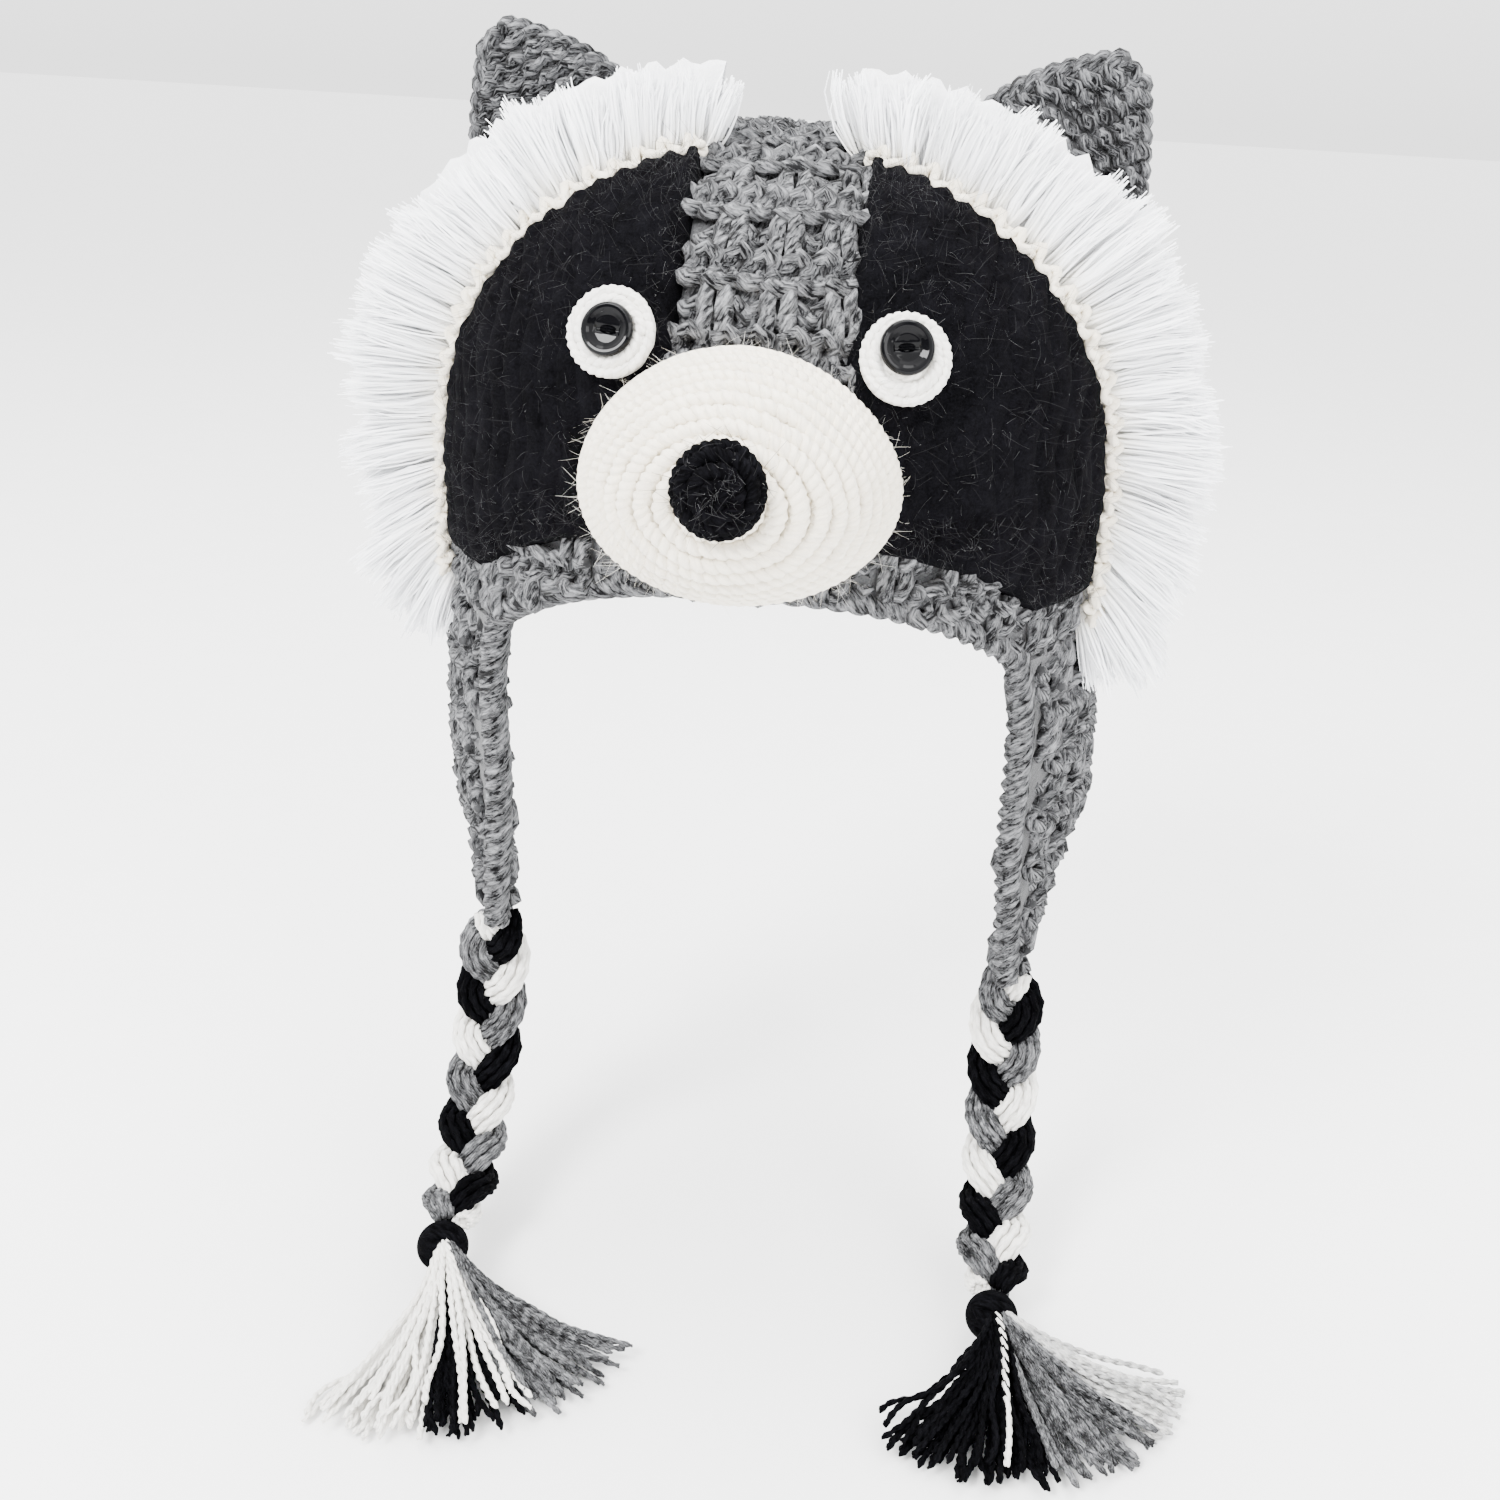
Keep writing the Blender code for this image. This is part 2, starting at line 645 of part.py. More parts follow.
def make_tassel(collection, side_name, middle, spread, length, grey):
    """A fan of yarn locks that starts round the knot and settles as it spreads."""
    centre = knot_centre(side_name)
    inner = KNOT_RADIUS + SEWN_GAP

    def place(u, height, thick):
        direction = math.radians(middle + spread * (2 * u - 1))
        notch = lock_wave(u, TASSEL_LOCKS) * height
        reach = inner + (length * (1 - TASSEL_NOTCH_SHARE * notch) - inner) * height
        level = centre.z - TASSEL_DROOP * height
        level += thick * TASSEL_THICKNESS / 2 * (1 - TASSEL_NOTCH_THINNING * notch)
        return centre.x + reach * math.cos(direction), centre.y + reach * math.sin(direction), level

    name = f"tassel_{side_name}"
    mesh = blade(name, 4 * TASSEL_LOCKS, TASSEL_SECTION, place, SIDES[side_name])
    add(collection, name, mesh, grey)


def clear_scene():
    for thing in list(bpy.data.objects):
        bpy.data.objects.remove(thing, do_unlink=True)


def main():
    clear_scene()
    hat = bpy.data.collections.new("raccoon_hat")
    cutters = bpy.data.collections.new("cutters")
    for collection in (hat, cutters):
        bpy.context.scene.collection.children.link(collection)

    grey = material("grey yarn", (0.30, 0.31, 0.32), 0.9)
    black = material("black yarn", (0.012, 0.012, 0.013), 0.95)
    white = material("white yarn", (0.86, 0.85, 0.80), 0.9)
    fur = material("white fur", (0.90, 0.91, 0.93), 0.9)
    cream = material("cream yarn", (0.90, 0.84, 0.70), 0.9)
    gloss = material("black gloss", (0.01, 0.01, 0.012), 0.12)
    finishes = {"black": black, "white": white, "grey": grey}

    make_crown(hat, grey)
    make_muzzle(hat, cream)
    make_nose(hat, black)
    for side_name in SIDES:
        make_ear_flap(hat, side_name, grey)
        make_eye_patch(hat, side_name, black)
        make_fur_trim(hat, side_name, fur)
        make_ear(hat, side_name, grey)
        make_braid(hat, side_name, finishes)
        make_tie_knot(hat, side_name, black)
    for side_name, x, height, rise in EYES:
        make_eye_disc(hat, side_name, x, height, white)
        make_eye_button(hat, cutters, side_name, x, height, rise, gloss)
    for side_name, middle, spread, length in TASSEL_FANS:
        make_tassel(hat, side_name, middle, spread, length, grey)


main()
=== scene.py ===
"""Dresses the knitted raccoon hat: yarn, crochet, fur, buttons, braided ties and tassels.

Metres and +Z up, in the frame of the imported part. The face looks along -Y, and left is -X.
Each piece has its own operator, and the panel in the 3D view's sidebar lists them.
"""

import math

import bpy
import numpy as np
from bpy.props import FloatProperty, FloatVectorProperty, IntProperty, PointerProperty
from mathutils import Matrix, Vector


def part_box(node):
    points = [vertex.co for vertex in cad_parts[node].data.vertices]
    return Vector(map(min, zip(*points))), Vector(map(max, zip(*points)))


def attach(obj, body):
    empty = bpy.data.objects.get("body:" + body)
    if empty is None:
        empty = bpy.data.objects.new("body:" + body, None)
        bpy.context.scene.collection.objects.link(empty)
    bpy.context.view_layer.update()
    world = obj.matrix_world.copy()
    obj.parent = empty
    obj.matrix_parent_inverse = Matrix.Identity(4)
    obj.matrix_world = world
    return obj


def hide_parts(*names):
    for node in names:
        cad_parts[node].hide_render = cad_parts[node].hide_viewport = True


bl_info = {
    "name": "Raccoon Hat",
    "version": (1, 0, 0),
    "blender": (4, 5, 0),
    "location": "3D View > Sidebar > Hat",
    "description": "Dresses a knitted raccoon hat with yarn, crochet, fur, braids and tassels",
    "category": "Object",
}

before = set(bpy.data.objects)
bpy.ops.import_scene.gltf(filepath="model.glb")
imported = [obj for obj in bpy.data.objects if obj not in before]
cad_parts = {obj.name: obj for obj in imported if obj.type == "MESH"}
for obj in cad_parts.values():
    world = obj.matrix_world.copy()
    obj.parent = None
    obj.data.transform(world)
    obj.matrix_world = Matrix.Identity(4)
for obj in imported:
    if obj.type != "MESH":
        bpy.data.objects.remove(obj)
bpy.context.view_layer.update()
CROWN_LOW, CROWN_HIGH = (np.array(corner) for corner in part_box("crown"))

# The head form under the hat, as the crown has it
KNIT_WALL = 0.005
HALF_WIDTH = CROWN_HIGH[0] - KNIT_WALL
HALF_DEPTH = CROWN_HIGH[1] - KNIT_WALL
HEAD_HEIGHT = 0.076
DOME_POWER = 2.6
RIM_FRONT, RIM_SIDE, RIM_BACK = 0.096, 0.119, 0.125
ARCH_ANGLE, ARCH_POWER = 50.0, 2.2

# Ear flaps
FLAP_BACK_ANGLE = 110.0
FLAP_TIP_WIDTH = 0.016
FLAP_TIP_BACK = -0.012
FLAP_FLARE = 0.011
FLAP_TUCK = 0.0075
FLAP_TAPER_POWER = 1.15

# Stitches in a round of the crown, from this share of its widest round outwards.
CROWN_WALES = ((0.70, 72), (0.44, 48), (0.26, 32), (0.12, 16), (0, 8))

# Eye patches and fur
STRIP_HALF = 0.020
PATCH_GAP = 0.0006
PATCH_THICKNESS = 0.0045
PATCH_PLANE = 0.040
PATCH_BOW = 0.017
RIM_BAND = 0.013
FUR_LENGTH = 0.035
FUR_THICKNESS = 0.013
FUR_END_DROP = 0.112

# Snout
MUZZLE_HALF_WIDTH = 0.03725
MUZZLE_HALF_HEIGHT = 0.02815
MUZZLE_DEPTH = 0.039
MUZZLE_DROP = 0.0668
MUZZLE_SHIFT = -0.0025
MUZZLE_POWER = 2.7
MUZZLE_EGG = 0.14
NOSE_RADIUS = 0.0095
NOSE_DEPTH = 0.007
NOSE_RAISE = 0.0045

# Ears
EAR_ANGLE = 98.0
EAR_LEVELS = (0.22, 0.74)
EAR_TIP = np.array((0.087, 0.008, 0.0265))
EAR_HALF_THICKNESS = 0.004
EAR_TIP_WIDTH = 0.009
EAR_BULGE = 0.013

# Eyes: side, distance from the middle, drop below the top, how far the button sits above the disc's middle
EYES = (("left", 0.0332, 0.0392, 0.0), ("right", 0.0325, 0.0406, 0.0022))

EYE_TURN = 12.0
EYE_LIFT = 0.0009

# The route of the right tie from the tip of its flap
TIE_ROUTE = (
    (0.0, 0.0, 0.0),
    (0.0008, 0.0, -0.020),
    (0.0016, -0.002, -0.036),
    (0.0020, -0.008, -0.050),
    (0.0020, -0.021, -0.066),
    (0.0016, -0.037, -0.075),
    (0.0012, -0.055, -0.080),
)
KNOT_RADIUS = 0.0085
SEAT_GAP = 0.0004

# Columns: share of the trim's arc, direction of the hair in degrees above outward, share of its length
FUR_FAN = (
    (0.00, 99, 0.80),
    (0.20, 72, 0.91),
    (0.38, 50, 1.00),
    (0.54, 28, 1.03),
    (0.69, 7, 1.00),
    (0.87, -26, 0.96),
    (0.94, -48, 0.98),
    (1.00, -72, 0.60),
)

SIDES = {"left": -1, "right": 1}
FLOOR_DROP = 0.3305


class HatYarn(bpy.types.PropertyGroup):
    light_grey: FloatVectorProperty(
        name="Light grey", description="Lightest fibres of the grey yarn", subtype="COLOR", default=(0.235, 0.238, 0.247)
    )
    dark_grey: FloatVectorProperty(
        name="Dark grey", description="Darkest fibres of the grey yarn", subtype="COLOR", default=(0.002, 0.002, 0.0025)
    )
    radius: FloatProperty(
        name="Yarn radius", description="Radius of the chunky yarn", default=0.00225, unit="LENGTH", precision=5
    )
    stitch_width: FloatProperty(
        name="Stitch width", description="Width of one knit stitch", default=0.0080, unit="LENGTH", precision=5
    )
    stitch_height: FloatProperty(
        name="Stitch height", description="Height of one knit row", default=0.0064, unit="LENGTH", precision=5
    )


class HatFur(bpy.types.PropertyGroup):
    hairs: IntProperty(name="Hairs", description="Hairs in each trim", default=10000, min=100)
    hair_width: FloatProperty(
        name="Hair width", description="Width of a lock of hairs", default=0.00076, unit="LENGTH", precision=5
    )
    white: FloatVectorProperty(
        name="Fur white", description="Colour of the fur", subtype="COLOR", default=(0.93, 0.94, 0.96)
    )


class HatFace(bpy.types.PropertyGroup):
    black: FloatVectorProperty(
        name="Black wool", description="Colour of the black wool", subtype="COLOR", default=(0.0007, 0.0007, 0.0009)
    )
    cream: FloatVectorProperty(
        name="Cream wool", description="Colour of the snout", subtype="COLOR", default=(0.93, 0.86, 0.72)
    )
    white: FloatVectorProperty(
        name="White wool", description="Colour of the eye discs", subtype="COLOR", default=(0.93, 0.91, 0.86)
    )
    round_height: FloatProperty(
        name="Round height", description="Height of a crochet round", default=0.0048, unit="LENGTH", precision=5
    )


class HatTies(bpy.types.PropertyGroup):
    pitch: FloatProperty(
        name="Braid pitch", description="Length of one full turn of a strand", default=0.0445, unit="LENGTH", precision=5
    )
    swing: FloatProperty(
        name="Braid swing", description="Sideways swing of a strand", default=0.0066, unit="LENGTH", precision=5
    )
    strands: IntProperty(name="Tassel strands", description="Strands in each tassel", default=125, min=10)


class HatStage(bpy.types.PropertyGroup):
    floor_size: FloatProperty(name="Floor size", description="Width of the floor", default=60.0, unit="LENGTH")
    lens: FloatProperty(name="Lens", description="Focal length in millimetres", default=41.6)


def settings():
    return bpy.context.scene.hat


# Mesh building


def build_mesh(name, points, faces, uvs=None, slots=None, tint=None):
    """A smooth mesh from point and face arrays, with one face array for each corner count."""
    mesh = bpy.data.meshes.new(name)
    corners = np.concatenate([group.reshape(-1) for group in faces])
    counts = np.concatenate([np.full(len(group), group.shape[1]) for group in faces])
    starts = np.concatenate([[0], np.cumsum(counts)[:-1]])
    mesh.vertices.add(len(points))
    mesh.vertices.foreach_set("co", np.asarray(points, np.float32).ravel())
    mesh.loops.add(len(corners))
    mesh.loops.foreach_set("vertex_index", corners.astype(np.int32))
    mesh.polygons.add(len(counts))
    mesh.polygons.foreach_set("loop_start", starts.astype(np.int32))
    if slots is not None:
        mesh.polygons.foreach_set("material_index", slots.astype(np.int32))
    mesh.update(calc_edges=True)
    mesh.validate()
    if uvs is not None:
        layer = mesh.uv_layers.new(name="yarn")
        flat = np.concatenate([group.reshape(-1, 2) for group in uvs])
        layer.data.foreach_set("uv", flat.astype(np.float32).ravel())
    if tint is not None:
        shade = mesh.attributes.new("tint", "FLOAT", "POINT")
        shade.data.foreach_set("value", np.asarray(tint, np.float32))
    mesh.shade_smooth()
    return mesh


def add_piece(name, mesh, materials, replaced=()):
    """Links a piece, gives it its finishes, and says which nodes of the part it stands for."""
    for finish in materials:
        mesh.materials.append(finish)
    piece = bpy.data.objects.new(name, mesh)
    bpy.context.scene.collection.objects.link(piece)
    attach(piece, "root")
    if replaced:
        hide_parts(*replaced)
    return piece


def unit(vectors):
    return vectors / np.maximum(np.linalg.norm(vectors, axis=-1, keepdims=True), 1e-12)


class Yarns:
    """Gathers round strands of yarn into one mesh."""

    def __init__(self, sides=5, ply_pitch=0.007):
        self.sides = sides
        self.ply_pitch = ply_pitch
        self.points, self.quads, self.quad_uvs = [], [], []
        self.caps, self.cap_uvs = [], []
        self.slots, self.cap_slots, self.tints = [], [], []
        self.count = 0

    def add(self, line, normals, radius, slot=0, tint=0.5, flat=1.0, pinch=True):
        """A strand along line. normals point out of the fabric, and flat squashes it along them."""
        line = np.asarray(line, float)
        steps, sides = len(line), self.sides
        radius = np.broadcast_to(np.asarray(radius, float), (steps,)).copy()
        if pinch:
            radius[0] *= 0.6
            radius[-1] *= 0.6
        ahead = unit(np.gradient(line, axis=0))
        across = unit(np.cross(ahead, np.broadcast_to(normals, line.shape)))
        lift = np.cross(across, ahead)
        turn = 2 * np.pi * np.arange(sides) / sides
        ring = (
            across[:, None] * np.cos(turn)[None, :, None]
            + lift[:, None] * (np.sin(turn) * flat)[None, :, None]
        )
        self.points.append((line[:, None] + ring * radius[:, None, None]).reshape(-1, 3))
        here = self.count + np.arange(steps - 1)[:, None] * sides + np.arange(sides)[None]
        after = self.count + np.arange(steps - 1)[:, None] * sides + (np.arange(sides) + 1)[None] % sides
        self.quads.append(np.stack([here, after, after + sides, here + sides], -1).reshape(-1, 4))
        reach = np.concatenate([[0], np.cumsum(np.linalg.norm(np.diff(line, axis=0), axis=1))]) / self.ply_pitch
        around = np.arange(sides + 1) / sides
        low = np.broadcast_to(reach[:-1, None], (steps - 1, sides))
        high = np.broadcast_to(reach[1:, None], (steps - 1, sides))
        first = np.broadcast_to(around[None, :-1], (steps - 1, sides))
        second = np.broadcast_to(around[None, 1:], (steps - 1, sides))
        corners = [(first, low), (second, low), (second, high), (first, high)]
        self.quad_uvs.append(np.stack([np.stack(pair, -1) for pair in corners], 2).reshape(-1, 4, 2))
        start = self.count + np.arange(sides)[::-1]
        end = self.count + (steps - 1) * sides + np.arange(sides)
        self.caps.append(np.stack([start, end]))
        self.cap_uvs.append(np.zeros((2, sides, 2)))
        self.slots.append(np.full((steps - 1) * sides, slot))
        self.cap_slots.append(np.full(2, slot))
        self.tints.append(np.full(steps * sides, tint))
        self.count += steps * sides

    def mesh(self, name):
        faces = [np.concatenate(self.quads), np.concatenate(self.caps)]
        uvs = [np.concatenate(self.quad_uvs), np.concatenate(self.cap_uvs)]
        slots = np.concatenate(self.slots + self.cap_slots)
        return build_mesh(name, np.concatenate(self.points), faces, uvs, slots, np.concatenate(self.tints))


class Hairs:
    """Gathers flat tapering hairs into one mesh."""

    def __init__(self):
        self.points, self.faces, self.uvs, self.tints = [], [], [], []
        self.count = 0

    def add(self, lines, widths, sideways, tints):
        """lines is hairs by points by 3, widths one value a hair, and sideways the flat direction."""
        lines = np.asarray(lines, float)
        hairs, steps = lines.shape[:2]
        taper = np.linspace(1.0, 0.35, steps)
        half = unit(sideways)[:, None] * (widths[:, None] * taper[None] / 2)[..., None]
        both = np.stack([lines - half, lines + half], 2)
        self.points.append(both.reshape(-1, 3))
        base = self.count + np.arange(hairs)[:, None] * steps * 2 + np.arange(steps - 1)[None] * 2
        self.faces.append(np.stack([base, base + 1, base + 3, base + 2], -1).reshape(-1, 4))
        along = np.linspace(0, 1, steps)
        low = np.broadcast_to(along[None, :-1], (hairs, steps - 1))
        high = np.broadcast_to(along[None, 1:], (hairs, steps - 1))
        edge = np.zeros_like(low)
        corners = [(edge, low), (edge + 1, low), (edge + 1, high), (edge, high)]
        self.uvs.append(np.stack([np.stack(pair, -1) for pair in corners], 2).reshape(-1, 4, 2))
        self.tints.append(np.repeat(tints, steps * 2))
        self.count += hairs * steps * 2

    def mesh(self, name):
        return build_mesh(
            name, np.concatenate(self.points), [np.concatenate(self.faces)], [np.concatenate(self.uvs)], None,
            np.concatenate(self.tints),
        )


def grid_mesh(name, place, columns, rows, wrap=False):
    """A mesh from place(u, v), which takes arrays of shares and gives points."""
    u, v = np.meshgrid(np.linspace(0, 1, columns + 1), np.linspace(0, 1, rows + 1))
    points = place(u, v).reshape(-1, 3)
    base = np.arange(rows)[:, None] * (columns + 1) + np.arange(columns)[None]
    faces = np.stack([base, base + 1, base + columns + 2, base + columns + 1], -1).reshape(-1, 4)
    uv = np.stack([u, v], -1).reshape(-1, 2)
    if wrap:
        ends = np.arange(rows + 1) * (columns + 1) + columns
        swap = np.arange(len(points))
        swap[ends] = ends - columns
        return build_mesh(name, points, [swap[faces]], [uv[faces]])
    return build_mesh(name, points, [faces], [uv[faces]])


# Materials


def new_material(name, colour, roughness):
    finish = bpy.data.materials.new(name)
    finish.use_nodes = True
    finish.diffuse_color = (*colour, 1.0)
    shader = finish.node_tree.nodes["Principled BSDF"]
    shader.inputs["Base Color"].default_value = (*colour, 1.0)
    shader.inputs["Roughness"].default_value = roughness
    shader.inputs["Specular IOR Level"].default_value = 0.02
    return finish, finish.node_tree, shader


def add_node(tree, kind, values=(), **fields):
    """A node with its fields set, and its inputs set or linked in order of the pairs."""
    made = tree.nodes.new(kind)
    for field, value in fields.items():
        setattr(made, field, value)
    for socket, value in values:
        if isinstance(value, bpy.types.NodeSocket):
            tree.links.new(value, made.inputs[socket])
        else:
            made.inputs[socket].default_value = value
    return made


def maths(tree, operation, first, second=0.0):
    return add_node(tree, "ShaderNodeMath", [(0, first), (1, second)], operation=operation).outputs[0]


def blend_colour(tree, share, first, second):
    mix = add_node(tree, "ShaderNodeMix", [(0, share), (6, first), (7, second)], data_type="RGBA")
    return mix.outputs[2]


def yarn_material(name, dark, light, plies=3.0, relief=0.6, sheen=0.05, contrast=0.10, groove=0.6, middle=0.53):
    """Plied wool: slanting plies, and light and dark fibres that follow them along the strand, with painted shade:
    groove darkens the colour in the dips between the plies.
    """
    finish, tree, shader = new_material(name, light, 0.92)
    shader.inputs["Sheen Weight"].default_value = sheen
    shader.inputs["Sheen Roughness"].default_value = 0.6
    split = add_node(tree, "ShaderNodeSeparateXYZ", [(0, add_node(tree, "ShaderNodeUVMap", uv_map="yarn").outputs[0])])
    spiral = maths(tree, "ADD", maths(tree, "MULTIPLY", split.outputs[0], plies), split.outputs[1])
    ply = maths(tree, "ABSOLUTE", maths(tree, "SINE", maths(tree, "MULTIPLY", spiral, math.pi)))
    lay = add_node(
        tree, "ShaderNodeCombineXYZ",
        [(0, maths(tree, "MULTIPLY", spiral, 1.7)), (1, maths(tree, "MULTIPLY", split.outputs[1], 0.9))],
    )
    fibres = add_node(
        tree, "ShaderNodeTexNoise", [("Vector", lay.outputs[0]), ("Scale", 2.4), ("Detail", 4.0), ("Roughness", 0.75)]
    )
    place = add_node(tree, "ShaderNodeTexCoord")
    flecks = add_node(
        tree, "ShaderNodeTexNoise", [("Vector", place.outputs["Object"]), ("Scale", 260.0), ("Detail", 5.0)]
    )
    streaks = maths(tree, "MULTIPLY", fibres.outputs[0], 0.7)
    both = maths(tree, "ADD", streaks, maths(tree, "MULTIPLY", flecks.outputs[0], 0.3))
    ramp = add_node(
        tree, "ShaderNodeMapRange", [("Value", both), ("From Min", middle - contrast), ("From Max", middle + contrast)]
    )
    tint = add_node(tree, "ShaderNodeAttribute", attribute_name="tint")
    shifted = maths(tree, "ADD", ramp.outputs[0], maths(tree, "SUBTRACT", tint.outputs["Fac"], 0.5))
    shifted.node.use_clamp = True
    colour = blend_colour(tree, shifted, (*dark, 1), (*light, 1))
    # Painted shade: the base colour is darkened in the dips between the plies, by groove where they are deepest.
    painted_groove_shade = maths(tree, "POWER", maths(tree, "SUBTRACT", 1.0, ply), 2.0)
    shade = maths(tree, "SUBTRACT", 1.0, maths(tree, "MULTIPLY", painted_groove_shade, groove))
    shaded = add_node(tree, "ShaderNodeVectorMath", [(0, colour), ("Scale", shade)], operation="SCALE")
    tree.links.new(shaded.outputs[0], shader.inputs["Base Color"])
    height = maths(tree, "ADD", maths(tree, "SQRT", ply), maths(tree, "MULTIPLY", fibres.outputs[0], 0.9))
    bump = add_node(tree, "ShaderNodeBump", [("Strength", relief), ("Distance", 0.0008), ("Height", height)])
    tree.links.new(bump.outputs[0], shader.inputs["Normal"])
    return finish


def wool_material(name, dark, light, scale=900.0, relief=0.5, sheen=0.2):
    """Felted wool with a fine uneven nap."""
    finish, tree, shader = new_material(name, light, 0.95)
    shader.inputs["Sheen Weight"].default_value = sheen
    shader.inputs["Sheen Roughness"].default_value = 0.5
    place = add_node(tree, "ShaderNodeTexCoord")
    nap = add_node(
        tree, "ShaderNodeTexNoise",
        [("Vector", place.outputs["Object"]), ("Scale", scale), ("Detail", 6.0), ("Roughness", 0.7), ("Distortion", 1.5)],
    )
    broad = add_node(tree, "ShaderNodeTexNoise", [("Vector", place.outputs["Object"]), ("Scale", scale / 9), ("Detail", 3.0)])
    both = maths(tree, "ADD", maths(tree, "MULTIPLY", nap.outputs[0], 0.7), maths(tree, "MULTIPLY", broad.outputs[0], 0.3))
    ramp = add_node(tree, "ShaderNodeMapRange", [("Value", both), ("From Min", 0.38), ("From Max", 0.64)])
    tree.links.new(blend_colour(tree, ramp.outputs[0], (*dark, 1), (*light, 1)), shader.inputs["Base Color"])
    bump = add_node(tree, "ShaderNodeBump", [("Strength", relief), ("Distance", 0.0006), ("Height", nap.outputs[0])])
    tree.links.new(bump.outputs[0], shader.inputs["Normal"])
    return finish


def hair_material(name, root, tip, sheen=0.2):
    """Soft hair, blended from its root colour to its tip colour. The tint attribute scales whole hairs: painted shade
    in the fur trims, random tone in the stray fibres.
    """
    finish, tree, shader = new_material(name, tip, 0.75)
    shader.inputs["Sheen Weight"].default_value = sheen
    split = add_node(tree, "ShaderNodeSeparateXYZ", [(0, add_node(tree, "ShaderNodeUVMap", uv_map="yarn").outputs[0])])
    rise = add_node(tree, "ShaderNodeMapRange", [("Value", split.outputs[1]), ("From Min", 0.02), ("From Max", 0.45)])
    colour = blend_colour(tree, rise.outputs[0], (*root, 1), (*tip, 1))
    tint = add_node(tree, "ShaderNodeAttribute", attribute_name="tint")
    # Scales the colour by tint: painted shade in the fur trims.
    shade = maths(tree, "ADD", maths(tree, "MULTIPLY", tint.outputs["Fac"], 0.30), 0.85)
    shaded = add_node(tree, "ShaderNodeVectorMath", [(0, colour), ("Scale", shade)], operation="SCALE")
    tree.links.new(shaded.outputs[0], shader.inputs["Base Color"])
    return finish


def gloss_material(name, colour):
    """Polished black plastic with faint scuffs."""
    finish, tree, shader = new_material(name, colour, 0.08)
    shader.inputs["Specular IOR Level"].default_value = 0.12
    place = add_node(tree, "ShaderNodeTexCoord")
    scuffs = add_node(tree, "ShaderNodeTexNoise", [("Vector", place.outputs["Object"]), ("Scale", 700.0), ("Detail", 5.0)])
    rough = add_node(tree, "ShaderNodeMapRange", [("Value", scuffs.outputs[0]), ("To Min", 0.03), ("To Max", 0.09)])
    tree.links.new(rough.outputs[0], shader.inputs["Roughness"])
    return finish


def floor_material():
    finish, tree, shader = new_material("floor", (0.92, 0.92, 0.92), 0.85)
    place = add_node(tree, "ShaderNodeTexCoord")
    grain = add_node(tree, "ShaderNodeTexNoise", [("Vector", place.outputs["Object"]), ("Scale", 40.0), ("Detail", 3.0)])
    ramp = add_node(tree, "ShaderNodeMapRange", [("Value", grain.outputs[0]), ("To Min", 0.0), ("To Max", 1.0)])
    tone = blend_colour(tree, ramp.outputs[0], (0.90, 0.90, 0.90, 1), (0.93, 0.93, 0.93, 1))
    tree.links.new(tone, shader.inputs["Base Color"])
    return finish


def finish_named(name):
    """The hat's shared finishes, each made once."""
    if name in bpy.data.materials:
        return bpy.data.materials[name]
    yarn, face, fur = settings().yarn, settings().face, settings().fur
    dark, light = tuple(yarn.dark_grey), tuple(yarn.light_grey)
    black, cream, white = tuple(face.black), tuple(face.cream), tuple(face.white)
    lift = tuple(6 * part for part in black)
    makers = {
        "grey_yarn_melange": lambda: yarn_material("grey_yarn_melange", dark, light),
        # Painted shade: the solids under the knitting are coloured dark grey, so the gaps between stitches look shaded.
        "dark_knit_back": lambda: wool_material("dark_knit_back", tuple(0.15 * c for c in light), tuple(0.4 * c for c in light)),
        "black_yarn_fuzzy": lambda: yarn_material("black_yarn_fuzzy", black, lift, sheen=0.0, groove=0.4),
        "black_felted_wool": lambda: wool_material("black_felted_wool", black, lift, relief=0.9, sheen=0.0),
        "white_yarn_plied": lambda: yarn_material(
            "white_yarn_plied", tuple(0.80 * c for c in white), white, sheen=0.2, groove=0.16, relief=0.35
        ),
        "cream_crochet": lambda: yarn_material(
            "cream_crochet", tuple(0.86 * c for c in cream), cream, sheen=0.25, groove=0.12, relief=0.35
        ),
        # Painted shade: the snout's body under the rounds is a darker cream, so the gaps between the rounds look
        # shaded.
        "cream_wool_back": lambda: wool_material("cream_wool_back", tuple(0.7 * c for c in cream), tuple(0.85 * c for c in cream)),
        "white_fur_pile": lambda: hair_material("white_fur_pile", (0.86, 0.83, 0.74), tuple(fur.white)),
        # Painted shade: the core seen between the hairs mixes white with a bluish grey at random, for the shade inside
        # the pile.
        "fur_core": lambda: wool_material("fur_core", (0.78, 0.78, 0.80), tuple(fur.white), sheen=0.3),
        "black_fuzz": lambda: hair_material("black_fuzz", (0.001, 0.001, 0.001), (0.009, 0.009, 0.010)),
        "cream_fuzz": lambda: hair_material("cream_fuzz", cream, (0.9, 0.88, 0.82)),
        "grey_fuzz": lambda: hair_material("grey_fuzz", (0.10, 0.10, 0.105), (0.33, 0.33, 0.34)),
        "black_button": lambda: gloss_material("black_button", (0.001, 0.001, 0.0015)),
    }
    return makers[name]()


# The head form and what is worked on it


def ease(share):
    share = np.clip(share, 0, 1)
    return share * share * (3 - 2 * share)


def rim_height(angle):
    """The rim's height: an arch over the face, then level with a slow fall to the nape."""
    turned = np.abs((angle + 180) % 360 - 180)
    arch = np.minimum(turned / ARCH_ANGLE, 1.0) ** ARCH_POWER
    nape = ease((turned - ARCH_ANGLE) / (180.0 - ARCH_ANGLE))
    return -RIM_FRONT - (RIM_SIDE - RIM_FRONT) * arch - (RIM_BACK - RIM_SIDE) * nape


def dome_radius(level):
    return np.sin(np.clip(level, 0, 1) * np.pi / 2) ** (2 / DOME_POWER)


def dome_rise(level):
    return np.maximum(np.cos(np.clip(level, 0, 1) * np.pi / 2), 0) ** (2 / DOME_POWER)


